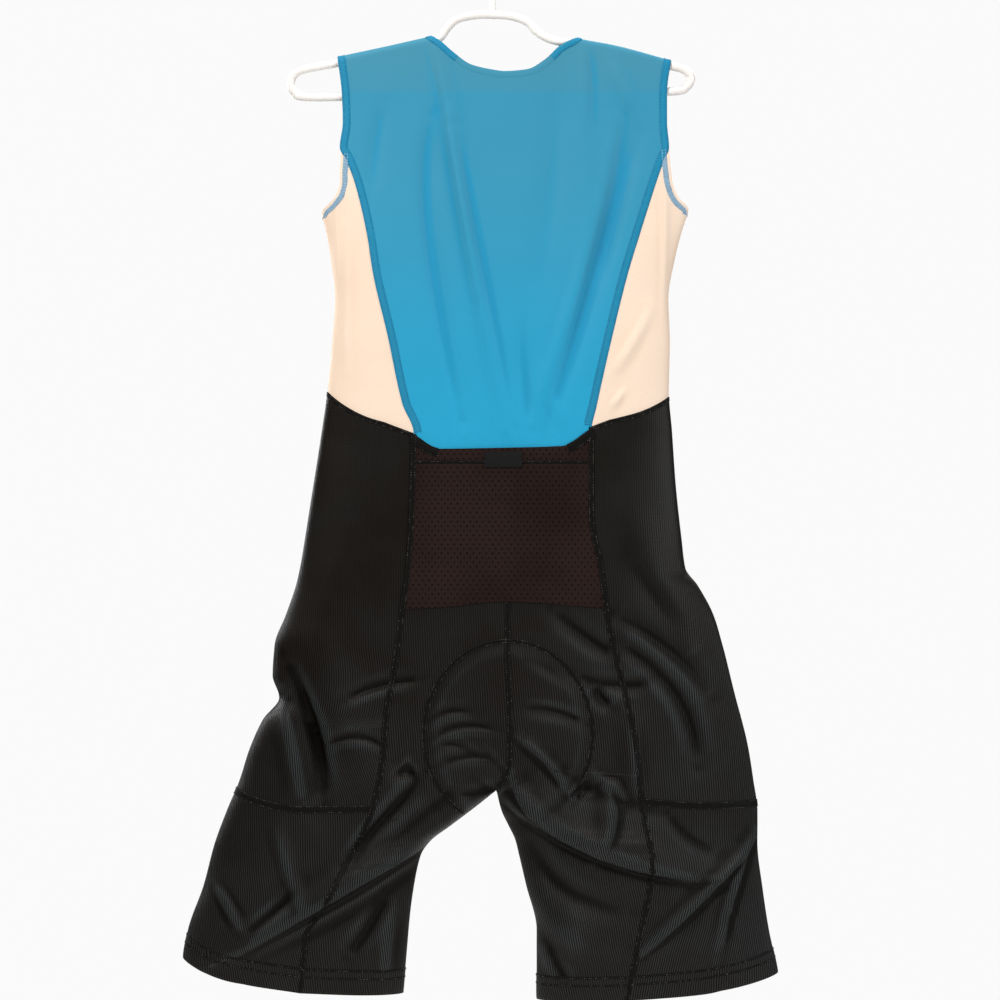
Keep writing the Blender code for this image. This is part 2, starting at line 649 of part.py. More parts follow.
def through(points, steps, closed):
    """A smooth path through points, with this many steps between each two."""
    points = np.array(points, float)
    count = len(points)
    path = []
    for n in range(count if closed else count - 1):
        around = [n - 1, n, n + 1, n + 2]
        around = [k % count for k in around] if closed else [min(max(k, 0), count - 1) for k in around]
        a, b, c, d = points[around]
        for t in np.arange(steps) / steps:
            bend = (2 * a - 5 * b + 4 * c - d) * t ** 2 + (3 * b - a - 3 * c + d) * t ** 3
            path.append((2 * b + (c - a) * t + bend) / 2)
    return np.array(path if closed else path + [points[-1]])


def tube(name, path, radius, closed, finish):
    """A round rod along a path in the hanger's plane, as a closed mesh."""
    curve = bpy.data.curves.new(name, "CURVE")
    curve.dimensions = "3D"
    curve.bevel_depth = radius * MM
    curve.bevel_resolution = 2
    curve.use_fill_caps = not closed
    spline = curve.splines.new("POLY")
    spline.points.add(len(path) - 1)
    for point, (x, z) in zip(spline.points, path):
        point.co = (x * MM, 0, z * MM, 1)
    spline.use_cyclic_u = closed
    guide = bpy.data.objects.new(f"{name}_path", curve)
    garment.objects.link(guide)
    bpy.context.view_layer.update()
    mesh = bpy.data.meshes.new_from_object(guide.evaluated_get(bpy.context.evaluated_depsgraph_get()))
    bpy.data.objects.remove(guide)
    weld = bmesh.new()
    weld.from_mesh(mesh)
    bmesh.ops.remove_doubles(weld, verts=weld.verts, dist=0.00001)
    face_out(weld)
    weld.to_mesh(mesh)
    weld.free()
    mesh.materials.clear()
    mesh.materials.append(finish)
    mesh.shade_smooth()
    made = bpy.data.objects.new(name, mesh)
    garment.objects.link(made)
    return made


def combine(target, tool, how="UNION"):
    """A Boolean whose result stays on the target, its tool removed."""
    step = target.modifiers.new(how.lower(), "BOOLEAN")
    step.operation = how
    step.object = tool
    bpy.context.view_layer.update()
    mesh = bpy.data.meshes.new_from_object(target.evaluated_get(bpy.context.evaluated_depsgraph_get()))
    target.modifiers.clear()
    target.data = mesh
    bpy.data.objects.remove(tool)
    return target


def hanger():
    loop = tube("hanger", through(HANGER_LOOP, 3, True), TUBE / 2, True, white_plastic)
    radius = (HOOK_INSIDE + HOOK_ROD) / 2
    turns = np.linspace(HOOK_START_TURN, HOOK_END_TURN, 22)
    middle = -HOOK_INSIDE / 2
    ring = np.stack((radius * np.cos(turns), middle + radius * np.sin(turns)), axis=-1)
    stem = through(HOOK_STEM + (tuple(ring[0]),), 2, False)
    hook = tube("hook", joined(stem, ring), HOOK_ROD / 2, False, white_plastic)
    return combine(loop, hook)


def block(name, size, place, finish):
    """A box of this size in millimetres with its middle here."""
    shape = bmesh.new()
    bmesh.ops.create_cube(shape, size=1)
    bmesh.ops.scale(shape, vec=[side * MM for side in size], verts=shape.verts)
    bmesh.ops.translate(shape, vec=[at * MM for at in place], verts=shape.verts)
    return from_bmesh(name, shape, finish)


def rod(name, radius, length, place, finish, segments=16):
    """A round rod along X."""
    shape = bmesh.new()
    sizes = {"radius1": radius * MM, "radius2": radius * MM, "depth": length * MM}
    bmesh.ops.create_cone(shape, cap_ends=True, segments=segments, **sizes)
    for vert in shape.verts:
        vert.co = (vert.co.z + place[0] * MM, vert.co.x + place[1] * MM, vert.co.y + place[2] * MM)
    face_out(shape)
    return from_bmesh(name, shape, finish)


def from_bmesh(name, shape, finish):
    mesh = bpy.data.meshes.new(name)
    shape.to_mesh(mesh)
    shape.free()
    mesh.materials.append(finish)
    made = bpy.data.objects.new(name, mesh)
    garment.objects.link(made)
    return made


def slider_and_tab():
    """The closed zip's slider and the tab that hangs from its bar and lifts."""
    z = float(neck_front(ZIP_X)) - SLIDER_LENGTH
    top, foot = np.array([ZIP_X]), np.array([z - SLIDER_LENGTH / 2])
    face = float(depth(top, foot, FRONT)[0]) + ZIP_COIL + SEAM_GAP
    size = (SLIDER_WIDTH, SLIDER_WALL, SLIDER_LENGTH)
    body = block("zip_slider", size, (ZIP_X, face + SLIDER_WALL / 2, z), coated_metal)
    bar_y = face + SLIDER_WALL + BAR_LIFT
    post_x = EYE_WIDTH / 2 + SEAM_GAP + POST_WALL / 2
    for side in (-1, 1):
        height = SLIDER_WALL / 2 + BAR_LIFT + BAR_RADIUS
        place = (ZIP_X + side * post_x, bar_y + BAR_RADIUS - height / 2, z)
        combine(body, block("post", (POST_WALL, height, POST_LENGTH), place, coated_metal))
    combine(body, rod("bar", BAR_RADIUS, 2 * post_x, (ZIP_X, bar_y, z), coated_metal))
    tab = rod("pull_tab", EYE_OUTER, EYE_WIDTH, (ZIP_X, bar_y, z), coated_metal)
    neck_place = (ZIP_X, bar_y, z - NECK_LENGTH / 2)
    combine(tab, block("neck", (EYE_WIDTH, TAB_WALL, NECK_LENGTH), neck_place, coated_metal))
    wide = TAB_LENGTH - NECK_LENGTH + 1
    wide_place = (ZIP_X, bar_y, z - NECK_LENGTH + 1 - wide / 2)
    combine(tab, block("wide", (TAB_WIDTH, TAB_WALL, wide), wide_place, coated_metal))
    combine(tab, rod("eye", EYE_INNER, EYE_WIDTH + 2, (ZIP_X, bar_y, z), coated_metal), "DIFFERENCE")
    return body, tab


for startup in list(bpy.data.objects):
    bpy.data.objects.remove(startup)
garment = bpy.data.collections.new("cycling_skinsuit")
bpy.context.scene.collection.children.link(garment)

blue_knit = material("blue_knit", (0.026, 0.352, 0.604), 0.62)
cream_knit = material("cream_knit", (0.96, 0.78, 0.63), 0.66)
ribbed_knit = material("ribbed_knit", (0.013, 0.012, 0.011), 0.5)
black_knit = material("black_knit", (0.013, 0.011, 0.01), 0.5)
mesh_knit = material("mesh_knit", (0.023, 0.014, 0.014), 0.75)
woven_label = material("woven_label", (0.02, 0.02, 0.022), 0.6)
zip_coil = material("zip_coil", (0.03, 0.03, 0.032), 0.45)
coated_metal = material("coated_metal", (0.03, 0.03, 0.032), 0.35, 0.6)
white_plastic = material("white_plastic", (0.83, 0.79, 0.74), 0.35)

hanger()
back_panel()
for half in (LEFT, RIGHT):
    front_panel(half)
    side_pieces(half)
    seat_pieces(half)
zip_chain()
slider_and_tab()
pocket()
label()
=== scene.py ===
"""Looks of a sleeveless cycling skinsuit on its white hanger, seen from behind: its back faces -Y.

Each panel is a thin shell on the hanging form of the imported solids. The tables below
give that form in millimetres, below the top inside of the hanger's hook, the origin.
Left and right are the wearer's, which are also the viewer's from behind.
"""
import math

import bmesh
import bpy
import numpy as np
from mathutils import Matrix, Vector, noise


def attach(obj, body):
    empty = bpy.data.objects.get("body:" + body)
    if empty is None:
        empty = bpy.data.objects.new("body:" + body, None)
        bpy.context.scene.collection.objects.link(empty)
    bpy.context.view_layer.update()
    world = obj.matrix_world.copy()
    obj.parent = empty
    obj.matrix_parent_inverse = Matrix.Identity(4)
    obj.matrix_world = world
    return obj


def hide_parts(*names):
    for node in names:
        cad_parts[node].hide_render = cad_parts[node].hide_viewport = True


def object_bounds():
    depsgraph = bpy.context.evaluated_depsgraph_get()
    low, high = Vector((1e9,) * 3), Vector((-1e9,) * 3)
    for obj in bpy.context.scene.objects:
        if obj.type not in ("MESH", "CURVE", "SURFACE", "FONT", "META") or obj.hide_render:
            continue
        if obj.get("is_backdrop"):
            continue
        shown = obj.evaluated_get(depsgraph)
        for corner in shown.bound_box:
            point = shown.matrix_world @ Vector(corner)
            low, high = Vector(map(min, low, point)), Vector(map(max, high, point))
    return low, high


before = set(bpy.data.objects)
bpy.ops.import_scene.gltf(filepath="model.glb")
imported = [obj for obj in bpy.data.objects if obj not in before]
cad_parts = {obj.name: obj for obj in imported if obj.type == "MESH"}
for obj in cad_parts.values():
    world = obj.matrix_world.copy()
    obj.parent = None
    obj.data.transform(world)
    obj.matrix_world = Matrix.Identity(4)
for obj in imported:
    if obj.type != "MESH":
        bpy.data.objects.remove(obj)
cad_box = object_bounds()

MM = 0.001
QUARTER = math.pi / 2
CLOTH_SHARP, HARD_SHARP = math.radians(50), math.radians(35)
BACK, FRONT = -1, 1

# The cloth, thinner than its solids, whose outer faces it keeps
SOLID_WALL = 1.2
CLOTH = 0.7
SEAM_DIP, SEAM_DIP_REACH = 0.35, 2.5

# The hanger: a round plastic tube bent to a closed loop, with a hook on top
TUBE = 8.5
HOOK_ROD = 7.0
HOOK_INSIDE = 36.0
HOOK_END_TURN = math.radians(205)
HOOK_START_TURN = math.radians(-52)
ARM_CLEARANCE = 0.65
OVER_ARM = TUBE / 2 + ARM_CLEARANCE + SOLID_WALL

# How far in from a fold the cloth is still rounding
SIDE_REACH = 64.0
FORK_REACH = 58.0

# The front zip, on the garment's own middle
ZIP_X, ZIP_WIDTH, ZIP_COIL = 13.0, 8.0, 0.9
ZIP_GAP = ZIP_WIDTH / 2

CROTCH_X, CROTCH_Z = 3.6, -879.0
CROTCH_PARTING, CROTCH_NEAR = 0.15, 12.0
PAD_X, PAD_Z = 16.0, -819.0
PAD_HALF_WIDTH, PAD_HALF_LENGTH = 86.0, 95.0
PAD_RELIEF, PAD_EDGE = 2.4, 0.16

# height, left fold, right fold, half depth; the top rows lie outside the armholes
SECTIONS = (
    (-100, -270, 290, 6.1),
    (-170, -250, 268, 6.2),
    (-230, -212, 232, 8.5),
    (-288, -175, 200, 12.0),
    (-334, -166, 187, 14.0),
    (-375, -162, 181, 15.0),
    (-421, -165, 182, 16.0),
    (-467, -169, 181, 16.5),
    (-513, -176, 185, 17.0),
    (-560, -183, 188, 18.0),
    (-621, -193, 194, 19.0),
    (-650, -198, 198, 20.0),
    (-668, -202, 211, 20.5),
    (-698, -212, 227, 21.0),
    (-729, -224, 236, 22.0),
    (-760, -226, 244, 22.0),
    (-783, -219, 250, 22.0),
    (-806, -236, 256, 22.0),
    (-837, -250, 263, 22.0),
    (-868, -260, 268, 22.0),
    (-899, -273, 272, 22.0),
    (-929, -284, 272, 22.0),
    (-976, -297, 277, 23.0),
    (-1022, -313, 284, 24.0),
    (-1050, -318, 290, 24.5),
    (-1095, -321, 299, 25.0),
)

# height, across: the seam down the middle of the seat to the crotch
CENTRE_SEAM = (
    (-500, ZIP_X),
    (-520, ZIP_X),
    (-684, 16),
    (-728, 15),
    (-803, 18),
    (-848, 17),
    (-866, 11),
    (CROTCH_Z, CROTCH_X),
)

# height, left leg, right leg: each leg's inner fold
INNER_FOLDS = (
    (CROTCH_Z, CROTCH_X - 0.2, CROTCH_X + 0.2),
    (-899, -22, 9),
    (-914, -42, 16),
    (-929, -62, 23),
    (-945, -73, 27),
    (-976, -80, 34),
    (-1022, -86, 45),
    (-1095, -92, 45),
)

# height, back left, back right, front left, front right: armhole edge, princess seam, side seam
LONG_SEAMS = (
    (-120, -160, 185, -160, 185),
    (-164, -154.5, 179, -154, 178.5),
    (-193, -153.5, 179, -152.5, 178),
    (-219, -156.5, 181, -155, 179.5),
    (-233, -149.5, 175.5, -148, 174),
    (-259, -140, 166.5, -143, 168.5),
    (-311, -128, 150, -133, 155),
    (-347, -122.5, 139, -127, 144),
    (-413, -107, 122.5, -112, 127),
    (-482, -92, 107, -97, 112),
    (-512, -80.5, 101, -88, 106),
    (-594, -82.5, 101, -88, 106),
    (-651, -86, 111, -92, 114),
    (-699, -93, 117.5, -98, 122),
    (-752, -100, 129, -106, 132),
    (-797, -108, 140, -113, 143),
    (-843, -112, 148.5, -120, 150),
    (-893, -121.5, 152.5, -128, 155),
    (-953, -150, 163, -146, 160),
    (-990, -168, 157.5, -160, 158),
    (-1027, -190, 150, -172, 154),
    (-1095, -197, 136, -178, 150),
)

# across, height: the line over which the cloth turns on the hanger's arms
SHOULDER_LINE = (
    (-230, -141),
    (-160, -125.3),
    (-99, -111.9),
    (-63, -103.9),
    (-40, -98),
    (65, -98),
    (87, -105.3),
    (120, -112.0),
    (169, -124.3),
    (184, -128.4),
    (250, -146),
)

# across, back height, front height, from the left neck point to the right one
NECKLINE = (
    (-63, -103.9, -103.9),
    (-54, -109, -114),
    (-40, -121, -134),
    (-22, -133.5, -155),
    (-2, -138.5, -170),
    (13, -140.5, -174),
    (36, -138.5, -164),
    (54, -128.5, -144),
    (70, -114, -122),
    (87, -105.3, -105.3),
)

# Heights: where the seams at the shoulder's edge end, where the back panel's foot meets the seat behind
# the pocket, and the middle of the front waist seam
SHOULDER_TIP_Z, TUCK, CENTRE_WAIST = -125.0, -548.0, -510.0

# share of the way from the back seam round to the front seam, left height, right height
ARMPIT_LINE = (
    (0, -224, -220), (0.12, -243, -240), (0.25, -261, -258), (0.37, -274, -272), (0.5, -288, -285),
    (0.63, -274, -272), (0.75, -261, -258), (0.88, -243, -240), (1, -224, -220),
)
WAIST_LINE = ((0, -512, -505), (0.2, -498, -493), (0.5, -469, -474), (0.8, -492, -490), (1, -505, -502))
LEG_LINE = ((0, -895, -888), (0.25, -896, -892), (0.5, -878, -891), (0.75, -890, -894), (1, -897, -895))
OUTER_HEM = (
    (0, -1083, -1091), (0.25, -1073, -1084), (0.5, -1050, -1065), (0.75, -1066, -1080), (1, -1079, -1087),
)
# share of the way round, how much of the way out to the seam the armhole's edge still is
ARMPIT_BEND = (
    (0, 1), (0.12, 0.85), (0.25, 0.69), (0.37, 0.48), (0.5, 0),
    (0.63, 0.55), (0.75, 0.75), (0.88, 0.89), (1, 1),
)
# share of the way from the side seam in to the inner fold, left height, right height
INNER_HEM = ((0, -1083, -1091), (0.5, -1085, -1092), (1, -1086, -1092))
FRONT_INNER_HEM = ((0, -1079, -1087), (0.5, -1082, -1089), (1, -1086, -1092))

# Cells of the panels' grids
ROUND_COLUMNS, LEG_COLUMNS = 92, 64
SHOULDER_COLUMNS, NECK_COLUMNS = 34, 58
ROLL_ROWS, ARMHOLE_ROWS, PRINCESS_ROWS, TUCK_ROWS, SEAT_ROWS, SHIN_ROWS = 5, 36, 92, 16, 150, 96
ROWS_CROWD_ABOVE, ROWS_CROWD_BELOW = 1.15, 1.1

# The solids' large folds: start x, z, bend x, z, end x, z, height, width on its upper or right side, width on
# the other
BACK_FOLDS = (
    (-52, -120, -42, -240, 8, -505, 1.8, 16, 10),
    (-56, -170, -56, -330, -34, -495, -1.6, 12, 12),
    (100, -120, 110, -300, 52, -508, 1.8, 10, 18),
    (136, -200, 112, -270, 88, -400, -1.5, 14, 10),
    (-216, -783, -180, -800, -176, -900, -6.0, 13, 13),
    (-196, -700, -150, -790, -128, -850, 3.0, 24, 16),
    (-34, -906, -110, -985, -262, -1046, 7.5, 44, 9),
    (-70, -860, -150, -930, -285, -985, 4.0, 26, 20),
    (-30, -868, -80, -915, -150, -960, -3.5, 9, 14),
    (118, -560, 180, -660, 222, -800, 3.6, 22, 20),
    (112, -640, 160, -740, 236, -850, 3.0, 20, 16),
    (20, -862, 90, -940, 212, -967, 6.5, 34, 9),
    (60, -850, 110, -890, 200, -905, -3.8, 12, 12),
    (214, -962, 190, -1000, 150, -1050, 4.5, 16, 22),
    (262, -930, 230, -965, 214, -1050, 3.0, 16, 14),
    (-110, -990, -120, -1030, -112, -1075, 3.0, 16, 16),
    (80, -985, 84, -1030, 76, -1080, 3.2, 18, 16),
    (-150, -590, -170, -680, -196, -745, 2.4, 20, 16),
)
FRONT_FOLDS = (
    (-60, -150, -48, -260, -20, -480, 1.8, 16, 12),
    (92, -150, 96, -300, 48, -480, 1.8, 12, 18),
    (-90, -560, -140, -650, -190, -800, 3.4, 22, 18),
    (108, -570, 160, -680, 214, -820, 3.4, 20, 20),
    (-18, -890, -110, -945, -250, -960, 5.5, 34, 12),
    (24, -890, 110, -945, 236, -975, 5.5, 32, 12),
    (-60, -800, -130, -860, -230, -880, -3.4, 14, 16),
    (70, -800, 140, -850, 240, -870, -3.4, 14, 16),
    (-140, -970, -160, -1020, -150, -1070, 3.2, 18, 18),
    (130, -980, 150, -1020, 140, -1075, 3.2, 18, 18),
)

# The cloth's own creases, in the same columns
BACK_CREASES = (
    (-63, -106, -48, -144, -17, -367, 0.8, 9, 6),
    (-46, -190, -30, -277, 14, -508, 1.2, 12, 6),
    (-38, -196, -20, -277, 24, -506, -1.0, 6, 9),
    (-62, -184, -82, -276, -31, -498, -1.3, 9, 7),
    (98, -112, 108, -150, 103, -225, -0.4, 8, 6),
    (90, -112, 99, -140, 96, -196, 0.5, 5, 7),
    (139, -186, 122, -334, 52, -510, -1.5, 11, 8),
    (128, -190, 104, -330, 40, -500, 0.9, 8, 9),
    (151, -205, 116, -312, 110, -350, -0.9, 7, 7),
    (-112, -176, -118, -206, -124, -272, -0.6, 8, 8),
    (121, -128, 136, -160, 150, -200, 0.6, 7, 7),
    (62, -150, 70, -240, 42, -380, -0.7, 12, 14),
    (30, -400, 34, -470, 38, -508, -0.7, 8, 8),
    (58, -470, 68, -490, 74, -504, 0.3, 7, 7),
    (-150, -300, -152, -370, -150, -450, 0.9, 5, 8),
    (165, -380, 140, -430, 122, -452, 0.9, 6, 6),
    (-217, -772, -197, -858, -192, -889, 2.6, 5, 12),
    (-215, -738, -172, -830, -171, -889, -2.8, 9, 9),
    (-206, -752, -178, -816, -177, -873, -1.6, 5, 5),
    (-150, -786, -120, -767, -73, -764, -1.9, 8, 3.5),
    (-170, -830, -136, -814, -111, -833, -1.5, 6, 3),
    (-70, -858, -122, -921, -150, -952, -3.2, 10, 7),
    (-96, -852, -88, -862, -78, -852, -2.6, 9, 9),
    (5, -883, -62, -932, -268, -1048, 4.2, 24, 2.6),
    (-284, -971, -267, -996, -254, -1022, 1.6, 5, 5),
    (-206, -982, -223, -1004, -252, -1022, -1.8, 6, 6),
    (-107, -982, -124, -1020, -148, -1045, -2.6, 9, 9),
    (-222, -905, -214, -950, -188, -1010, 1.3, 9, 6),
    (-100, -1000, -112, -1040, -108, -1072, 1.6, 6, 9),
    (123, -696, 186, -728, 226, -783, -2.8, 12, 9),
    (128, -725, 204, -770, 209, -851, -3.2, 11, 9),
    (140, -640, 176, -690, 206, -740, -1.6, 14, 12),
    (59, -691, 109, -734, 123, -737, -2.2, 11, 9),
    (83, -757, 124, -777, 162, -765, -2.2, 8, 8),
    (102, -771, 109, -782, 120, -792, -2.2, 7, 7),
    (30, -792, 62, -791, 94, -806, -1.7, 3, 7),
    (27, -825, 57, -842, 75, -878, 2.4, 8, 3),
    (8, -883, 86, -954, 220, -968, 3.6, 22, 2.8),
    (19, -861, 34, -907, 93, -933, 3.4, 11, 3.5),
    (98, -868, 90, -878, 84, -884, -1.8, 6, 6),
    (86, -868, 84, -880, 80, -890, 1.4, 3, 4),
    (111, -864, 135, -899, 111, -942, 3.2, 4, 13),
    (111, -864, 134, -874, 133, -891, 2.0, 5, 8),
    (272, -923, 224, -982, 151, -1044, 3.2, 2.4, 9),
    (271, -917, 238, -990, 230, -1048, 2.2, 2.2, 7),
    (48, -1031, 55, -1052, 70, -1068, 1.6, 5, 8),
    (140, -800, 146, -850, 150, -890, 1.6, 7, 12),
    (180, -900, 196, -930, 230, -940, -1.4, 9, 7),
    (34, -918, 50, -988, 141, -1001, -2.6, 12, 13),
    (34, -985, 60, -1022, 118, -1048, 1.8, 14, 14),
    (58, -1048, 66, -1060, 78, -1074, -1.2, 6, 6),
    (-64, -806, -46, -790, -14, -799, -1.0, 6, 3),
    (-60, -824, -34, -804, 6, -816, -1.3, 7, 2.2),
    (-58, -832, -40, -825, -18, -838, -0.8, 4, 3),
    (-53, -851, -24, -838, 2, -845, -1.1, 7, 2.6),
    (-40, -880, -12, -884, 4, -872, -1.3, 5, 3),
    (36, -742, 60, -752, 78, -768, -1.0, 8, 5),
    (-159, -245, -161, -330, -158, -406, 0.9, 3, 5),
    (176, -245, 178, -330, 175, -406, 0.9, 5, 3),
    (121, -488, 128, -478, 136, -467, 0.8, 3, 4),
    (-34, -910, -110, -992, -262, -1052, -1.3, 19, 15),
)
FRONT_CREASES = (
    (-58, -120, -62, -200, -30, -400, -1.0, 7, 7),
    (84, -120, 96, -220, 54, -420, -1.0, 8, 8),
    (-120, -150, -126, -220, -120, -300, 0.9, 6, 9),
    (136, -150, 142, -230, 120, -330, 0.9, 9, 6),
    (-60, -430, -40, -470, -10, -492, 1.1, 6, 6),
    (84, -430, 60, -474, 34, -494, 1.1, 6, 6),
    (-110, -560, -150, -600, -180, -660, -1.9, 10, 8),
    (118, -570, 160, -610, 190, -680, -2.0, 8, 10),
    (-150, -700, -172, -766, -200, -794, -2.0, 9, 9),
    (160, -700, 190, -760, 226, -800, -2.2, 9, 9),
    (0, -870, -70, -905, -180, -920, 3.2, 18, 4),
    (8, -870, 80, -905, 190, -925, 3.0, 18, 4),
    (-20, -830, -60, -850, -120, -850, -1.8, 4, 8),
    (30, -830, 70, -850, 130, -848, -1.8, 4, 8),
    (-250, -930, -220, -990, -160, -1040, 2.4, 4, 8),
    (254, -930, 226, -990, 170, -1044, 2.4, 4, 8),
    (-100, -960, -116, -1010, -112, -1066, 1.6, 7, 10),
    (76, -960, 90, -1010, 86, -1070, 1.6, 7, 10),
)
# Slow unevenness of hung cloth: its height and the length of its waves
SLACK, SLACK_WAVE = 0.6, 55.0
# How much fuller than their tables the creases hang above and below the waist, how soon they are full in from
# a fold, and how far off the cloth is that each place is compared with
FULL_ABOVE, FULL_BELOW, WAIST, HELD, NEARBY = 3.6, 2.4, -530.0, 1.6, 8.0
# Pieces of a fold's curve, its ends that fade no further, and how quickly it fades to them
FOLD_STEPS, FOLD_ENDS, FOLD_FADE = 14, (0.04, 0.96), 0.7
# How far apart the places are that give the form's slopes
PROBE = 0.05
# The hanger's bar, where the cloth lies close: its height, how near that is, and how deep a trough has room
BAR_Z, BAR_NEAR, BAR_ROOM, BAR_SLOPE = -164.0, 8.0, 1.0, 0.25


def smooth(rows, column):
    """One column of a table as a curve over its first column, with no overshoot between its rows."""
    rows = sorted(rows)
    knots = np.array([row[0] for row in rows], float)
    values = np.array([row[column] for row in rows], float)
    run = np.diff(knots)
    slope = np.diff(values) / run
    before, after = slope[:-1], slope[1:]
    level = before * after <= 0
    both = np.where(level, 1.0, before + after)
    tangent = np.concatenate(([slope[0]], np.where(level, 0.0, 2 * before * after / both), [slope[-1]]))

    def curve(at):
        at = np.clip(at, knots[0], knots[-1])
        row = np.clip(np.searchsorted(knots, at, side="right") - 1, 0, len(run) - 1)
        t = (at - knots[row]) / run[row]
        ends = (1 + 2 * t) * (1 - t) ** 2 * values[row] + t * t * (3 - 2 * t) * values[row + 1]
        leans = t * (1 - t) ** 2 * tangent[row] + t * t * (t - 1) * tangent[row + 1]
        return ends + leans * run[row]

    return curve


left_fold, right_fold, half_depth = (smooth(SECTIONS, column) for column in (1, 2, 3))
centre_seam = smooth(CENTRE_SEAM, 1)
inner_left, inner_right = (smooth(INNER_FOLDS, column) for column in (1, 2))
seam_back_left, seam_back_right, seam_front_left, seam_front_right = (
    smooth(LONG_SEAMS, column) for column in (1, 2, 3, 4)
)
shoulder_line = smooth(SHOULDER_LINE, 1)
neck_back, neck_front = (smooth(NECKLINE, column) for column in (1, 2))


def rounded(distance, reach):
    """Share of the squared half depth at this distance from a fold: none on it, all past its reach."""
    return 1 - (1 - np.minimum(distance / reach, 1.0)) ** 2


def fullness(x, z):
    """Squared share of the half depth that the cloth has here, from its distance to every fold."""
    share = rounded(x - left_fold(z), SIDE_REACH) * rounded(right_fold(z) - x, SIDE_REACH)
    share = share * rounded(shoulder_line(x) - z, OVER_ARM)
    between = (inner_left(z) + inner_right(z)) / 2
    leg = np.where(x < between, inner_left(z) - x, x - inner_right(z))
    fork = np.where(z < CROTCH_Z, leg, np.hypot(x - CROTCH_X, z - CROTCH_Z))
    return share * rounded(fork, FORK_REACH)


def one_fold(x, z, fold):
    """The height of one fold at places near it."""
    x0, z0, x1, z1, x2, z2, height, upper, lower = fold
    t = np.linspace(0, 1, FOLD_STEPS + 1)
    path_x, path_z = (
        (1 - t) ** 2 * a + 2 * t * (1 - t) * b + t ** 2 * c for a, b, c in ((x0, x1, x2), (z0, z1, z2))
    )
    step_x, step_z = np.diff(path_x), np.diff(path_z)
    length = np.hypot(step_x, step_z)
    off_x, off_z = x[:, None] - path_x[:-1], z[:, None] - path_z[:-1]
    along = np.clip((off_x * step_x + off_z * step_z) / length ** 2, 0, 1)
    near_x, near_z = off_x - along * step_x, off_z - along * step_z
    away = np.hypot(near_x, near_z)
    nearest = np.argmin(away, axis=-1)[:, None]
    away = np.take_along_axis(away, nearest, -1)[:, 0]
    turn = np.take_along_axis(step_z * near_x - step_x * near_z, nearest, -1)[:, 0]
    place = (nearest[:, 0] + np.take_along_axis(along, nearest, -1)[:, 0]) / len(step_x)
    facing = 1 if x2 + z0 >= x0 + z2 else -1
    width = np.where(turn * facing < 0, upper, lower)
    fade = np.sin(math.pi * np.clip(place, *FOLD_ENDS)) ** FOLD_FADE
    return height * fade * np.exp(-(away / width) ** 2)


def fold_height(x, z, folds):
    """Soft ridges and troughs along their own curves, uneven on their two sides."""
    total = np.zeros(np.shape(x))
    for fold in folds:
        reach = 3 * max(fold[-2:])
        near = (x > min(fold[0:6:2]) - reach) & (x < max(fold[0:6:2]) + reach)
        near &= (z > min(fold[1:6:2]) - reach) & (z < max(fold[1:6:2]) + reach)
        if near.any():
            total[near] += one_fold(x[near], z[near], fold)
    return total


def pad_height(x, z):
    """The seat pad's low relief inside its stitched outline."""
    out = np.hypot((x - PAD_X) / PAD_HALF_WIDTH, (z - PAD_Z) / PAD_HALF_LENGTH)
    inside = np.clip((1 - out) / PAD_EDGE, 0, 1)
    return PAD_RELIEF * inside * inside * (3 - 2 * inside)


def relief(x, z, side):
    """How far the solids' folds and the pad stand in or out."""
    back = fold_height(x, z, BACK_FOLDS) + pad_height(x, z)
    return np.where(side == BACK, back, fold_height(x, z, FRONT_FOLDS))


def outside(x, y, z, side, raised):
    """Zero on the form's outer face, more outside it."""
    share = fullness(x, z)
    bare = y * side - raised * np.clip(share, 0, 1)
    return (bare / half_depth(z)) ** 2 - share


def form(x, z, side):
    """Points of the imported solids' outer face and the directions that point straight out of it."""
    raised = relief(x, z, side)
    share = fullness(x, z)
    parted = CROTCH_PARTING * np.exp(-((x - CROTCH_X) ** 2 + (z - CROTCH_Z) ** 2) / CROTCH_NEAR ** 2)
    y = side * (half_depth(z) * np.sqrt(np.maximum(share, 0)) + raised * np.clip(share, 0, 1) + parted)
    step = PROBE
    rise_x, rise_z = relief(x + step, z, side) - raised, relief(x, z + step, side) - raised
    out = np.stack(
        (
            outside(x + step, y, z, side, raised + rise_x) - outside(x - step, y, z, side, raised - rise_x),
            outside(x, y + step, z, side, raised) - outside(x, y - step, z, side, raised),
            outside(x, y, z + step, side, raised + rise_z) - outside(x, y, z - step, side, raised - rise_z),
        ),
        axis=-1,
    )
    return np.stack((x, y, z), axis=-1), out / np.linalg.norm(out, axis=-1, keepdims=True)


def slack(points):
    """Slow unevenness that no fold gives, the same at a place whichever panel asks."""
    flat = points.reshape(-1, 3) / SLACK_WAVE
    return SLACK * np.array([noise.noise(Vector(point)) for point in flat]).reshape(points.shape[:-1])



def creases(x, z, side):
    """How far the creases stand in or out of the cloth's form."""
    found = np.where(side == BACK, fold_height(x, z, BACK_CREASES), fold_height(x, z, FRONT_CREASES))
    found = found * np.where(z > WAIST, FULL_ABOVE, FULL_BELOW)
    room = BAR_ROOM + BAR_SLOPE * np.maximum(np.abs(z - BAR_Z) - BAR_NEAR, 0)
    return np.maximum(found, -room)


def standing(x, z, side):
    """How far the cloth stands out from the cloth near it: above zero on a crest, below in a trough."""
    total = 0.0
    for off_x, off_z, share in ((0, 0, 1), (1, 0, -0.25), (-1, 0, -0.25), (0, 1, -0.25), (0, -1, -0.25)):
        near = x + off_x * NEARBY, z + off_z * NEARBY, side
        total = total + share * (creases(*near) + relief(*near))
    return total


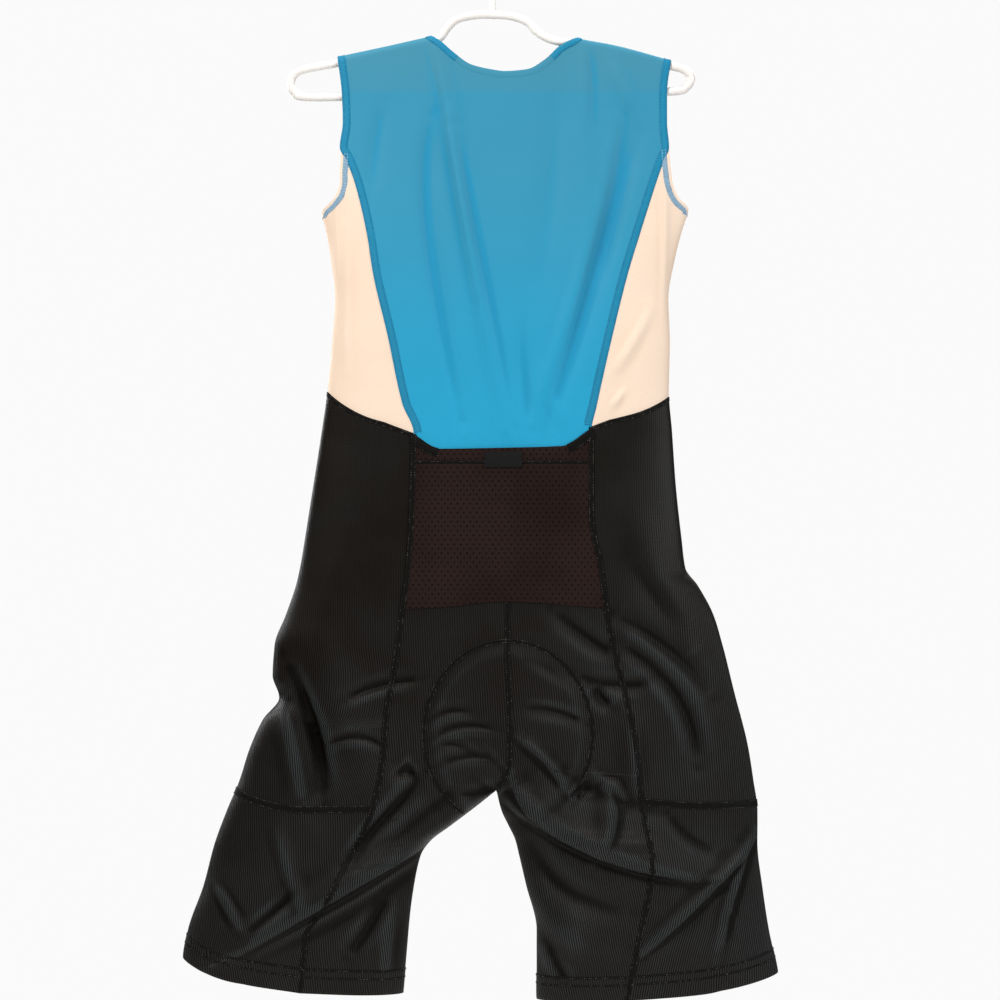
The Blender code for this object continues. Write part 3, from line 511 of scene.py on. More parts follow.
def cloth_face(x, z, side):
    """Points of the cloth's outer face, with its creases, and the form's outward directions there."""
    x, z, side = np.broadcast_arrays(np.asarray(x, float), np.asarray(z, float), side)
    points, normals = form(x, z, side)
    held = np.clip(fullness(x, z) * HELD, 0, 1)
    return points + normals * ((creases(x, z, side) * held) + slack(points))[..., None], normals


class Half:
    """The wearer's left or right half: its outer fold, its seams and its columns in the tables."""

    def __init__(self, name, fold, inward, column, seams, neck_x):
        self.name = name
        self.fold = fold
        self.inward = inward
        self.column = column
        self.seam = dict(zip((BACK, FRONT), seams))
        self.inner_fold = inner_left if inward > 0 else inner_right
        self.neck_x = neck_x
        self.princess_top = {BACK: ARMPIT_LINE[0][column], FRONT: ARMPIT_LINE[-1][column]}
        self.waist = {BACK: WAIST_LINE[0][column], FRONT: WAIST_LINE[-1][column]}
        self.leg_seam = {BACK: LEG_LINE[0][column], FRONT: LEG_LINE[-1][column]}
        self.hem = {BACK: OUTER_HEM[0][column], FRONT: OUTER_HEM[-1][column]}

    def turn(self, x, z, side):
        """The way round from the outer fold, in reaches of it, below zero on the back."""
        across = np.maximum((x - self.fold(z)) * self.inward, 0) / SIDE_REACH
        rounding = np.arccos(1 - np.minimum(across, 1)) / QUARTER
        return side * np.where(across < 1, rounding, across)

    def unturn(self, turn, z):
        """The place across and the side that a turn and a height stand for."""
        reach = np.abs(turn)
        rounding = 1 - np.cos(np.minimum(reach, 1) * QUARTER)
        across = np.where(reach < 1, rounding, reach)
        return self.fold(z) + self.inward * SIDE_REACH * across, np.where(turn < 0, BACK, FRONT)

    def round_face(self, turn, z):
        """The cloth's face by turns from the fold and heights."""
        x, side = self.unturn(turn, z)
        return cloth_face(x, z, side)

    def inner(self, z):
        """The seat's middle seam and, below the crotch, this leg's inner fold."""
        return np.where(z >= CROTCH_Z, centre_seam(z), self.inner_fold(z))

    def height(self, line, share):
        """A line's height on this half, by the share of the way along it."""
        return smooth(line, self.column)(share)

    def round_edge(self, line, bend=None, columns=ROUND_COLUMNS):
        """An edge that runs round the side, from the back seam over the fold to the front seam."""
        share = np.linspace(0, 1, columns + 1)
        z = self.height(line, share)
        ends = [self.turn(self.seam[side](z[end]), z[end], side) for side, end in ((BACK, 0), (FRONT, -1))]
        left_over = np.abs(1 - 2 * share) if bend is None else smooth(bend, 1)(share)
        return np.stack((np.where(share < 0.5, ends[0], ends[1]) * left_over, z), axis=-1)

    def tip(self, side):
        """Where across the shoulder's edge is."""
        return float(self.seam[side](SHOULDER_TIP_Z))

    def seam_turns(self, z, side):
        return np.stack((self.turn(self.seam[side](z), z, side), z), axis=-1)

    def round_panel(self, name, top, bottom, back_heights, front_heights, finish, lean):
        """A panel that wraps the side from the back seam to the front seam."""
        edges = self.seam_turns(back_heights, BACK), self.seam_turns(front_heights, FRONT)
        grid = blend_edges(top, bottom, *edges)
        x, side = self.unturn(grid[..., 0], grid[..., 1])
        return shell(f"{name}_{self.name}_cloth", x, grid[..., 1], side, finish, lean)

    def leg_panel(self, name, side, outer_heights, inner_heights, top_line, hem, finish, lean):
        """A panel from the side seam in to the centre seam and, below the crotch, the leg's inner fold."""
        outer = np.stack((self.seam[side](outer_heights), outer_heights), axis=-1)
        inner = np.stack((self.inner(inner_heights), inner_heights), axis=-1)
        share = np.sin(np.linspace(0, QUARTER, LEG_COLUMNS + 1))
        foot_x = outer[-1, 0] + (inner[-1, 0] - outer[-1, 0]) * share
        foot = np.stack((foot_x, self.height(hem, share)), axis=-1)
        grid = blend_edges(top_line(self, side), foot, outer, inner)
        return shell(f"{name}_{self.name}_cloth", grid[..., 0], grid[..., 1], side, finish, lean)


LEFT = Half("left", left_fold, 1, 1, (seam_back_left, seam_front_left), NECKLINE[0][0])
RIGHT = Half("right", right_fold, -1, 2, (seam_back_right, seam_front_right), NECKLINE[-1][0])
HALVES = (LEFT, RIGHT)


def blend_edges(top, bottom, left, right):
    """A grid of flat places between four edges, each a row of (across, height)."""
    across = [(edge[:, 0] - edge[0, 0]) / (edge[-1, 0] - edge[0, 0]) for edge in (top, bottom)]
    down = [(edge[:, 1] - edge[0, 1]) / (edge[-1, 1] - edge[0, 1]) for edge in (left, right)]
    u = ((across[0] + across[1]) / 2)[None, :, None]
    v = ((down[0] + down[1]) / 2)[:, None, None]
    corners = (1 - v) * ((1 - u) * top[0] + u * top[-1]) + v * ((1 - u) * bottom[0] + u * bottom[-1])
    return (1 - v) * top + v * bottom + (1 - u) * left[:, None] + u * right[:, None] - corners


def heights(first, last, count, crowd=1.0, at_end=False):
    """Heights from one end of a seam to the other, closer together at one end where crowd is over 1."""
    share = np.linspace(0, 1, count + 1)
    share = 1 - (1 - share) ** crowd if at_end else share ** crowd
    return first + (last - first) * share


def joined(*runs):
    return np.concatenate([runs[0]] + [run[1:] for run in runs[1:]])


def tip_heights(half, side):
    """From the shoulder tip over the roll of the hanger's arm and down to the princess seam's top."""
    tip = float(shoulder_line(half.tip(side)))
    roll = tip - OVER_ARM * (1 - np.cos(np.linspace(0, QUARTER, ROLL_ROWS + 1)))
    return joined(roll, heights(roll[-1], half.princess_top[side], ARMHOLE_ROWS))


def shoulder_edge(half, side):
    """The shoulder line from its tip in to the neck point."""
    x = np.linspace(half.tip(side), half.neck_x, SHOULDER_COLUMNS + 1)
    return np.stack((x, shoulder_line(x)), axis=-1)


def waist_edge(half, side, to=ZIP_X, columns=LEG_COLUMNS):
    """The front waist seam from the side seam in to here, level once it is under the zip."""
    start, level = float(half.seam[side](half.waist[side])), ZIP_X - half.inward * ZIP_GAP
    x = start + (to - start) * np.sin(np.linspace(0, QUARTER, columns + 1))
    share = np.minimum((x - start) / (level - start), 1)
    return np.stack((x, half.waist[side] + (CENTRE_WAIST - half.waist[side]) * share), axis=-1)


def tuck_edge(half, side, columns=LEG_COLUMNS):
    """Where the back panel's foot meets the seat, behind the pocket."""
    start, end = float(half.seam[side](TUCK)), float(half.inner(TUCK))
    share = np.sin(np.linspace(0, QUARTER, columns + 1))
    return np.stack((start + (end - start) * share, np.full(columns + 1, TUCK)), axis=-1)


def princess_heights(half, side):
    return heights(half.princess_top[side], half.waist[side], PRINCESS_ROWS)


def seat_heights(half, side):
    """Down the side seam from the waist, past the back panel's foot, to the seam round the leg."""
    upper = heights(half.waist[side], TUCK, TUCK_ROWS)
    return joined(upper, heights(TUCK, half.leg_seam[side], SEAT_ROWS, ROWS_CROWD_ABOVE, True))


def shin_heights(half, side):
    return heights(half.leg_seam[side], half.hem[side], SHIN_ROWS, ROWS_CROWD_BELOW)


def inner_heights(half, start, rows, hem):
    above = heights(start, CROTCH_Z, rows, ROWS_CROWD_ABOVE, True)
    return joined(above, heights(CROTCH_Z, hem[-1][half.column], SHIN_ROWS, ROWS_CROWD_BELOW))


def run_lengths(points):
    """Distance along each row of points from its first."""
    steps = np.linalg.norm(np.diff(points, axis=1), axis=-1)
    return np.concatenate((np.zeros((len(points), 1)), np.cumsum(steps, axis=1)), axis=1)


def sheet_mesh(name, outer, inner, grain, finish, raised=None):
    """A closed thin wall between two grids of points in millimetres, its grain as a UV map in metres."""
    rows, columns = outer.shape[:2]
    count = rows * columns
    number = np.arange(count).reshape(rows, columns)
    corners = [number[:-1, :-1], number[:-1, 1:], number[1:, 1:], number[1:, :-1]]
    across = np.cross(outer[0, 1] - outer[0, 0], outer[1, 0] - outer[0, 0])
    if np.dot(across, outer[0, 0] - inner[0, 0]) < 0:
        corners.reverse()
    front = np.stack(corners, axis=-1).reshape(-1, 4)
    rim = np.concatenate((number[0], number[1:, -1], number[-1, -2::-1], number[-2:0:-1, 0]))
    after = np.roll(rim, -1)
    edge = np.stack((after, rim, rim + count, after + count), axis=-1)
    mesh = bpy.data.meshes.new(name)
    places = np.concatenate((outer.reshape(-1, 3), inner.reshape(-1, 3))) * MM
    mesh.from_pydata(places.tolist(), [], np.concatenate((front, front[:, ::-1] + count, edge)).tolist())
    shape = bmesh.new()
    shape.from_mesh(mesh)
    bmesh.ops.recalc_face_normals(shape, faces=shape.faces)
    if shape.calc_volume(signed=True) < 0:
        bmesh.ops.reverse_faces(shape, faces=shape.faces)
    shape.to_mesh(mesh)
    shape.free()
    # How far the cloth stands out from the cloth near it, for the materials' painted shade in crease troughs
    # and painted highlight on crests
    if raised is not None:
        both = np.concatenate((raised.ravel(), raised.ravel()))
        mesh.attributes.new("standing", "FLOAT", "POINT").data.foreach_set("value", both)
    layer = mesh.uv_layers.new(name="grain")
    of_corner = np.zeros(len(mesh.loops), dtype=np.int32)
    mesh.loops.foreach_get("vertex_index", of_corner)
    both = np.concatenate((grain.reshape(-1, 2), grain.reshape(-1, 2))) * MM
    layer.data.foreach_set("uv", both[of_corner].ravel())
    soften(mesh, CLOTH_SHARP)
    return add_piece(name, mesh, finish)


def placed(name, data):
    """A new object in the scene, at the origin."""
    made = bpy.data.objects.new(name, data)
    bpy.context.scene.collection.objects.link(made)
    return made


def add_piece(name, mesh, finish):
    mesh.materials.clear()
    mesh.materials.append(finish)
    return placed(name, mesh)


def as_mesh(name, shape):
    """The plain mesh of a bmesh, which is freed."""
    mesh = bpy.data.meshes.new(name)
    shape.to_mesh(mesh)
    shape.free()
    return mesh


def soften(mesh, sharp=HARD_SHARP):
    """Smooth shading, but for edges sharper than this."""
    mesh.shade_smooth()
    mesh.set_sharp_from_angle(angle=sharp)


def evaluated(maker):
    """The plain mesh that an object's modifiers give."""
    bpy.context.view_layer.update()
    return bpy.data.meshes.new_from_object(maker.evaluated_get(bpy.context.evaluated_depsgraph_get()))


def lean_grain(points, start, lean):
    """Grain places from a grid: lengths across from one column and heights, leaning more and more down it."""
    across = run_lengths(points)
    facing = np.sign(points[0, start, 0] - points[0, 0, 0])
    across = facing * (across - across[:, start:start + 1]) + points[:, start:start + 1, 0]
    down = points[:, start, 2]
    share = (down - down[0]) / (down[-1] - down[0])
    slope = np.tan(np.radians(lean[0] + (lean[1] - lean[0]) * share))
    shift = np.concatenate(([0], np.cumsum((slope[1:] + slope[:-1]) / 2 * np.diff(down))))
    return np.stack((across - shift[:, None], points[..., 2]), axis=-1)


def shell(name, x, z, side, finish, lean=(0, 0), lift=0.0, wall=CLOTH):
    """A panel of cloth whose outer face lies this far out from the hanging form, dipped at its seams."""
    points, normals = cloth_face(x, z, side)
    sides = run_lengths(points)
    ends = run_lengths(points.transpose(1, 0, 2)).T
    edge = np.minimum(np.minimum(sides, sides[:, -1:] - sides), np.minimum(ends, ends[-1:] - ends))
    dip = SEAM_DIP * np.exp(-(edge / SEAM_DIP_REACH) ** 2)
    outer = points + normals * (lift - dip)[..., None]
    x, z, side = np.broadcast_arrays(np.asarray(x, float), np.asarray(z, float), side)
    grain = lean_grain(points, points.shape[1] // 2, lean)
    piece = sheet_mesh(name, outer, outer - normals * wall, grain, finish, standing(x, z, side))
    crossed = np.cross(points[1:, 1:] - points[:-1, :-1], points[1:, :-1] - points[:-1, 1:])
    area = (np.linalg.norm(crossed, axis=-1) / 2).sum()
    # As wide and long as the panel hangs, for knit that only its own weight pulls
    cuts[name] = (sides[:, -1].max() * MM, ends[-1].max() * MM, area * MM * MM)
    return piece


class Value:
    """A node's output. Python's own operators on it add the Math nodes that do them."""

    def __init__(self, nodes, socket):
        self.nodes = nodes
        self.socket = socket

    def maths(self, operation, *others):
        return self.nodes.node("ShaderNodeMath", {"operation": operation}, dict(enumerate((self, *others))))

    def __add__(self, other):
        return self.maths("ADD", other)

    def __sub__(self, other):
        return self.maths("SUBTRACT", other)

    def __mul__(self, other):
        return self.maths("MULTIPLY", other)

    def __rsub__(self, other):
        return self.nodes.node("ShaderNodeMath", {"operation": "SUBTRACT"}, {0: other, 1: self})

    __radd__ = __add__
    __rmul__ = __mul__

    def wave(self, length):
        """0 to 1 and back once in each length."""
        return (self * (2 * math.pi / length)).maths("COSINE") * 0.5 + 0.5

    def between(self, low, high):
        """0 below low, 1 above high, and a soft step between them."""
        return self.nodes.node(
            "ShaderNodeMapRange",
            {"interpolation_type": "SMOOTHSTEP", "clamp": True},
            {"Value": self, "From Min": low, "From Max": high},
        )


class Nodes:
    """The nodes of one material or geometry tree."""

    def __init__(self, tree):
        self.tree = tree

    def node(self, kind, settings=None, sockets=None, output=0):
        made = self.tree.nodes.new(kind)
        for key, value in (settings or {}).items():
            setattr(made, key, value)
        for key, value in (sockets or {}).items():
            if isinstance(value, Value):
                self.tree.links.new(value.socket, made.inputs[key])
            else:
                made.inputs[key].default_value = value
        return Value(self, made.outputs[output]) if made.outputs else made

    def mix(self, share, first, second):
        """A colour between two, either of them a link or three numbers."""
        colours = [value if isinstance(value, Value) else (*value, 1) for value in (first, second)]
        return self.node(
            "ShaderNodeMix", {"data_type": "RGBA"}, {"Factor": share, 6: colours[0], 7: colours[1]}, output=2
        )

    def noise(self, place, scale, detail=2.0, rough=0.5):
        sockets = {"Vector": place, "Scale": scale, "Detail": detail, "Roughness": rough}
        return self.node("ShaderNodeTexNoise", None, sockets)

    def axes(self, vector):
        return [self.node("ShaderNodeSeparateXYZ", None, {0: vector}, output=n) for n in range(3)]


EVEN = (1.0, 1.0, 1.0)


def tinted(colour, tint, share=1.0):
    """A colour times a tint, as strong as this share."""
    return [share * a * b for a, b in zip(colour, tint)]


class Finish(Nodes):
    """A material whose nodes read the cloth's grain map and the object's own place, in metres."""

    def __init__(self, name):
        self.material = bpy.data.materials.new(name)
        self.material.use_nodes = True
        super().__init__(self.material.node_tree)
        self.tree.nodes.clear()
        self.place = self.node("ShaderNodeTexCoord", output=3)
        self.grain = self.node("ShaderNodeUVMap", {"uv_map": "grain"})
        self.across, self.along, _ = self.axes(self.grain)
        # Masks for painted shade in the creases' troughs and painted highlight on their crests
        raised = self.node("ShaderNodeAttribute", {"attribute_name": "standing"}, output=2)
        self.trough, self.crest = (raised * -1.0).between(0.04, 1.1), raised.between(0.04, 1.2)

    def tone(self, scale, detail=2.0, rough=0.5):
        """Soft noise that keeps to its place on the object."""
        return self.noise(self.place, scale, detail, rough)

    def end(self, colour, roughness, height=None, depth=0.0, **fixed):
        """Joins colour, roughness and relief to the surface; fixed values go on the shader's own sockets."""
        sockets = {"Base Color": colour, "Roughness": roughness}
        if height is not None:
            bump = {"Strength": 1.0, "Distance": depth, "Height": height}
            sockets["Normal"] = self.node("ShaderNodeBump", None, bump)
        for key, value in fixed.items():
            sockets[key.replace("_", " ").title().replace("Ior", "IOR")] = value
        surface = self.node("ShaderNodeBsdfPrincipled", None, sockets)
        self.node("ShaderNodeOutputMaterial", None, {"Surface": surface})
        return self.material


def smooth_knit(name, colour, shade, hollow, roughness=0.62, sheen=0.25, backed=None):
    """A fine stretch knit: small columns of loops, slow changes of tone and a soft sheen, with painted shade
    in its crease troughs.

    Cloth with the hanger behind it fades from its second colour to its first on its way up, and above the
    level of the hanger's bar it is painted paler, as if the white plastic behind shone back through it.
    """
    finish = Finish(name)
    column = finish.across.wave(LOOP_WIDTH)
    loops = column * 0.6 + (finish.along + column * LOOP_LEAN).wave(LOOP_HEIGHT) * 0.4
    tone = finish.tone(9.0, 3.0)
    speckle = finish.tone(900.0, 1.0)
    mixed = finish.mix(tone.between(0.3, 0.72) * (0.5 if backed else 1.0), shade if backed else colour, shade)
    mixed = finish.mix((speckle - 0.5) * 0.5 + loops * 0.16, mixed, tinted(colour, EVEN, 0.72))
    if backed:
        level, lit_colour = backed
        up = finish.axes(finish.place)[2]
        # The fade up the back, then painted light: over the hanger's bar the cloth is made paler, as if the
        # white plastic behind shone back through it
        steps_up = (
            (-520.0, -200.0, 0.95, colour),
            (level - 4, level + 2, 0.5, lit_colour),
            (level, level + 34, 0.6, lit_colour),
        )
        for low, high, share, towards in steps_up:
            mixed = finish.mix(up.between(low * MM, high * MM) * share, mixed, towards)
    # Painted shade: crease troughs take a darker, deeper colour
    mixed = finish.mix(finish.trough * 0.75, mixed, hollow)
    rough = tone * 0.12 + (roughness - 0.06)
    return finish.end(mixed, rough, loops, LOOP_DEPTH, sheen_weight=sheen, sheen_roughness=0.45,
                      specular_ior_level=0.25)


def ribbed(name, furrow, crest, warm, cool):
    """A black stretch knit of fine ribs, with painted highlight on the rib crests and painted shade in the
    furrows, browner in painted shade and bluer in painted sheen, and random patches of either tone.
    """
    finish = Finish(name)
    wander = finish.tone(60.0)
    rib = (finish.across + (wander - 0.5) * RIB_WANDER).wave(RIB_PITCH)
    loops = finish.along.wave(LOOP_HEIGHT * 1.3)
    at_x, _, at_z = finish.axes(finish.place)
    down = at_z * -1.0
    # Painted highlight on the rib crests, randomly uneven, faint near the top and plain further down
    plain = 0.3 + down.between(0.58, 0.82) * 0.7
    lit = rib.between(0.25, 0.95) * (finish.noise(finish.grain, 700.0, 1.0) * 0.7 + 0.65)
    lit = (lit - 0.45) * plain + 0.45
    patch = finish.tone(13.0, 3.0).between(0.32, 0.66)
    # Painted light and shade: bluer and brighter on crease crests, on the right and low on the legs, browner
    # on the left and near the top, with random patches of tone
    rise = finish.crest * 0.75 + patch * 0.2 + at_x.between(-0.15, 0.22) * 0.15
    rise = rise + down.between(0.6, 1.0) * 0.2
    lower, lit_colour = (
        finish.mix(rise, tinted(base, warm), tinted(base, cool, share))
        for base, share in ((furrow, 2.4), (crest, 5.2))
    )
    mixed = finish.mix(lit, lower, lit_colour)
    # Painted shade: crease troughs darkened to a brown near-black
    mixed = finish.mix(finish.trough * 0.95, mixed, tinted(furrow, warm, 0.5))
    rough = 0.46 - lit * 0.06
    return finish.end(mixed, rough, rib * plain + loops * 0.15, RIB_DEPTH, specular_ior_level=0.13,
                      specular_tint=(1.0, 0.96, 0.9, 1.0))


def mesh_knit_finish(name):
    """The pocket's dark brown mesh, with small staggered holes."""
    finish = Finish(name)
    sizes = (finish.across, HOLE_ACROSS), (finish.along, HOLE_ALONG)
    staggered = []
    for shift in (0.0, 0.5):
        off = [((axis * (1 / size) + shift).maths("FRACT") - 0.5) * size for axis, size in sizes]
        away = (off[0] * off[0] + off[1] * off[1]).maths("SQRT")
        staggered.append(1 - away.between(HOLE_RADIUS * 0.55, HOLE_RADIUS * 1.25))
    holes = staggered[0].maths("MAXIMUM", staggered[1])
    tone = finish.tone(14.0, 3.0)
    threads = finish.across.wave(MESH_PITCH) * finish.along.wave(MESH_PITCH)
    ground = finish.mix(tone.between(0.3, 0.7), (0.0145, 0.0072, 0.0058), (0.021, 0.0112, 0.0095))
    # Painted shade: the mesh is darker in crease troughs
    ground = finish.mix(finish.trough * 0.6, ground, (0.008, 0.004, 0.003))
    ground = finish.mix(threads * 0.35, ground, (0.009, 0.006, 0.006))
    mixed = finish.mix(holes * 0.97, ground, (0.0008, 0.0006, 0.0006))
    relief_height = threads * 0.4 - holes * 1.6
    return finish.end(mixed, 0.8, relief_height, MESH_DEPTH, sheen_weight=0.03, sheen_roughness=0.5,
                      specular_ior_level=0.05)


def band_finish(name, colour, dark, rungs=0.3, shine=0.2):
    """A sewn edge: two layers, with the threads' ladder between its two rows of stitches."""
    finish = Finish(name)
    ladder = finish.along.wave(RUNG_PITCH)
    tone = finish.tone(120.0)
    mixed = finish.mix(ladder * rungs + (tone - 0.5) * 0.5, colour, dark)
    return finish.end(mixed, 0.6, ladder * 0.7 + tone * 0.6, 0.00022, specular_ior_level=shine)


def thread_finish(name, colour, speck=None):
    """A sewing thread, its stitches paler wherever the light catches them."""
    finish = Finish(name)
    tone = finish.tone(240.0, 1.0)
    twist = finish.tone(2500.0, 1.0)
    mixed = finish.mix(tone.between(0.5, 0.66), colour, speck or [value * 0.6 for value in colour])
    return finish.end(mixed, 0.6, twist, 0.0001, specular_ior_level=0.2)


def plastic_finish(name):
    """Moulded white plastic, faintly marked by wear and a little yellower in places."""
    finish = Finish(name)
    tone = finish.tone(18.0, 3.0)
    scuff = finish.tone(260.0, 3.0, 0.7)
    mixed = finish.mix(tone.between(0.35, 0.7), (0.93, 0.90, 0.87), (0.88, 0.82, 0.78))
    return finish.end(mixed, scuff * 0.2 + 0.2, scuff, 0.00001, coat_weight=0.25, coat_roughness=0.2)


def metal_finish(name):
    """Dark coated zinc, brighter where hands have worn it."""
    finish = Finish(name)
    wear = finish.tone(900.0, 4.0, 0.65)
    worn = wear.between(0.58, 0.75)
    mixed = finish.mix(worn, (0.028, 0.028, 0.031), (0.16, 0.155, 0.15))
    return finish.end(mixed, wear * 0.25 + 0.22, wear, 0.00002, metallic=0.8)


def label_finish(name):
    """A blank woven tag in dark satin."""
    finish = Finish(name)
    weave = finish.across.wave(0.0005) * 0.5 + (finish.across + finish.along).wave(0.0008) * 0.5
    ground = finish.mix(weave, (0.004, 0.004, 0.0045), (0.013, 0.013, 0.014))
    return finish.end(ground, 0.7, weave, 0.00012, specular_ior_level=0.08)


class Way:
    """A line along the cloth, from places on one of its faces: straight out of it and square to it."""

    def __init__(self, face, u, v, step):
        self.face = face
        self.u, self.v = np.broadcast_arrays(np.asarray(u, float), np.asarray(v, float))
        self.here, self.out = face(self.u, self.v)
        across = (face(self.u + step, self.v)[0] - face(self.u - step, self.v)[0]) / (2 * step)
        down = face(self.u, self.v + 0.5)[0] - face(self.u, self.v - 0.5)[0]
        along = np.gradient(self.here, axis=0)
        beside = np.cross(self.out, along)
        beside /= np.linalg.norm(beside, axis=-1, keepdims=True)
        square = [np.sum(a * b, axis=-1) for a, b in ((across, across), (across, down), (down, down))]
        wanted = [np.sum(a * beside, axis=-1) for a in (across, down)]
        scale = square[0] * square[2] - square[1] ** 2
        self.du = (square[2] * wanted[0] - square[1] * wanted[1]) / scale
        self.dv = (square[0] * wanted[1] - square[1] * wanted[0]) / scale

    def at(self, beside=0.0, lift=0.0):
        """The line's points this far to its right, seen from outside as it runs down, and this far out."""
        points = self.face(self.u + self.du * beside, self.v + self.dv * beside)[0]
        return points + self.out * lift


def flat_way(side, x, z):
    return Way(lambda u, v: cloth_face(u, v, side), x, z, 0.5)


def leg_way(half, side, x, z):
    """A way across one leg, kept inside its inner fold."""
    inside = np.minimum if half.inward > 0 else np.maximum

    def face(u, v):
        return cloth_face(inside(u, half.inner_fold(v) - half.inward * 0.4), v, side)

    return Way(face, x, z, 0.5)


def round_way(half, turn, z):
    return Way(half.round_face, turn, z, 0.006)


def ribbon(name, way, low, high, height, finish, under=0.3, extra=0.0, lean=None):
    """A strip of doubled cloth along a line, from one distance beside it to another, with soft edges."""
    profile = WIDE_PROFILE if np.max(np.abs(high - low)) > WIDE_BAND else PROFILE
    beside = [low + (high - low) * share for share, _ in profile]
    outer = np.stack([way.at(off, height * rise + extra) for off, (_, rise) in zip(beside, profile)], axis=1)
    inner = np.stack([way.at(off, extra - under) for off in beside], axis=1)
    length = run_lengths(way.here[None])[0]
    grain = np.stack(np.meshgrid([np.mean(off) for off in beside], length), axis=-1)
    if lean is not None:
        facing = np.sign(way.here[2, 0] - way.here[0, 0])
        down = outer[..., 2]
        grain = np.stack((facing * grain[..., 1] - math.tan(math.radians(lean)) * down, down), axis=-1)
    return sheet_mesh(name, outer, inner, grain, finish)


def stitch_tree():
    """Threads laid along curves: one short rounded stitch at every pitch, turned along its curve."""
    tree = bpy.data.node_groups.new("stitch_row", "GeometryNodeTree")
    tree.interface.new_socket("Geometry", in_out="INPUT", socket_type="NodeSocketGeometry")
    tree.interface.new_socket("Geometry", in_out="OUTPUT", socket_type="NodeSocketGeometry")
    for name in ("Pitch", "Stitch Length", "Thread Radius"):
        tree.interface.new_socket(name, in_out="INPUT", socket_type="NodeSocketFloat")
    tree.interface.new_socket("Thread", in_out="INPUT", socket_type="NodeSocketMaterial")
    nodes = Nodes(tree)
    given = tree.nodes.new("NodeGroupInput")
    curve, pitch, length, radius, thread = (Value(nodes, given.outputs[n]) for n in range(5))
    spaced = nodes.node("GeometryNodeResampleCurve", {"mode": "LENGTH"}, {"Curve": curve, "Length": pitch})
    tangent = nodes.node("GeometryNodeInputTangent")
    turned = nodes.node("FunctionNodeAlignRotationToVector", {"axis": "Z"}, {"Vector": tangent})
    stitch = nodes.node("GeometryNodeMeshUVSphere", None, {"Segments": 5, "Rings": 4, "Radius": 1.0})
    size = nodes.node("ShaderNodeCombineXYZ", None, {0: radius, 1: radius, 2: length * 0.5})
    laid = nodes.node(
        "GeometryNodeInstanceOnPoints", None,
        {"Points": spaced, "Instance": stitch, "Rotation": turned, "Scale": size},
    )
    real = nodes.node("GeometryNodeRealizeInstances", None, {"Geometry": laid})
    soft = nodes.node("GeometryNodeSetShadeSmooth", None, {"Geometry": real})
    coloured = nodes.node("GeometryNodeSetMaterial", None, {"Geometry": soft, "Material": thread})
    tree.links.new(coloured.socket, tree.nodes.new("NodeGroupOutput").inputs[0])
    return tree


def settle(maker, name):
    """A maker object turned into a piece of plain mesh."""
    mesh = evaluated(maker)
    bpy.data.objects.remove(maker)
    mesh.name = name
    return placed(name, mesh)


def curve_object(name, rows, closed=False):
    """A curve with one straight-segment spline for each row of points in millimetres."""
    curve = bpy.data.curves.new(name, "CURVE")
    curve.dimensions = "3D"
    for row in rows:
        spline = curve.splines.new("POLY")
        spline.points.add(len(row) - 1)
        flat = np.concatenate((np.asarray(row) * MM, np.ones((len(row), 1))), axis=1)
        spline.points.foreach_set("co", flat.ravel())
        spline.use_cyclic_u = closed
    return placed(name, curve)


def stitches(name, rows, thread, pitch=3.0, length=2.1, radius=0.38):
    """All the stitches of one thread along rows of points in millimetres."""
    maker = curve_object(f"{name}_rows", rows)
    step = maker.modifiers.new("stitch_row", "NODES")
    step.node_group = STITCH_ROW
    values = {"Pitch": pitch * MM, "Stitch Length": length * MM, "Thread Radius": radius * MM}
    values["Thread"] = thread
    for socket in STITCH_ROW.interface.items_tree:
        if socket.name in values:
            step[socket.identifier] = values[socket.name]
    return settle(maker, name)


# Each sheet's name with the width, length and area that it shows, in metres
cuts = {}

# Threads and knits, in metres
LOOP_WIDTH, LOOP_HEIGHT, LOOP_LEAN, LOOP_DEPTH = 0.0009, 0.0011, 0.0004, 0.00005
RIB_PITCH, RIB_DEPTH, RIB_WANDER = 0.0024, 0.00036, 0.0006
MESH_PITCH, MESH_DEPTH = 0.0011, 0.0003
HOLE_ACROSS, HOLE_ALONG, HOLE_RADIUS = 0.0065, 0.0092, 0.00095
RUNG_PITCH = 0.0022
# How high the hanger's bar shows through the back, in millimetres: above it the blue has painted light
BAR_SHOWS = -160.5

# The blue high and low on the back, and paler with painted light where the hanger's bar lies behind it
BLUE, BLUE_LOW, BLUE_LIT_THROUGH = (0.030, 0.250, 0.395), (0.0095, 0.33, 0.56), (0.047, 0.242, 0.350)
# Painted shade in the crease troughs of the blue and the cream cloth
BLUE_TROUGH_SHADE, CREAM_TROUGH_SHADE = (0.004, 0.245, 0.435), (0.82, 0.62, 0.475)
CREAM, CREAM_SHADE = (0.875, 0.69, 0.55), (0.84, 0.65, 0.505)
# Tints of the black knit: brown for random tone and painted shade, blue for random tone and painted sheen;
# the rib furrows' colour is dark with painted shade
WARM_TONE_AND_SHADE, COOL_TONE_AND_SHEEN = (1.25, 0.97, 0.75), (0.80, 0.99, 1.10)
FURROW = (0.0009, 0.0008, 0.0007)

blue_cloth = smooth_knit("blue_cloth", BLUE, BLUE_LOW, BLUE_TROUGH_SHADE, 0.66, 0.06, (BAR_SHOWS, BLUE_LIT_THROUGH))
cream_cloth = smooth_knit("cream_cloth", CREAM, CREAM_SHADE, CREAM_TROUGH_SHADE, 0.58, 0.08)
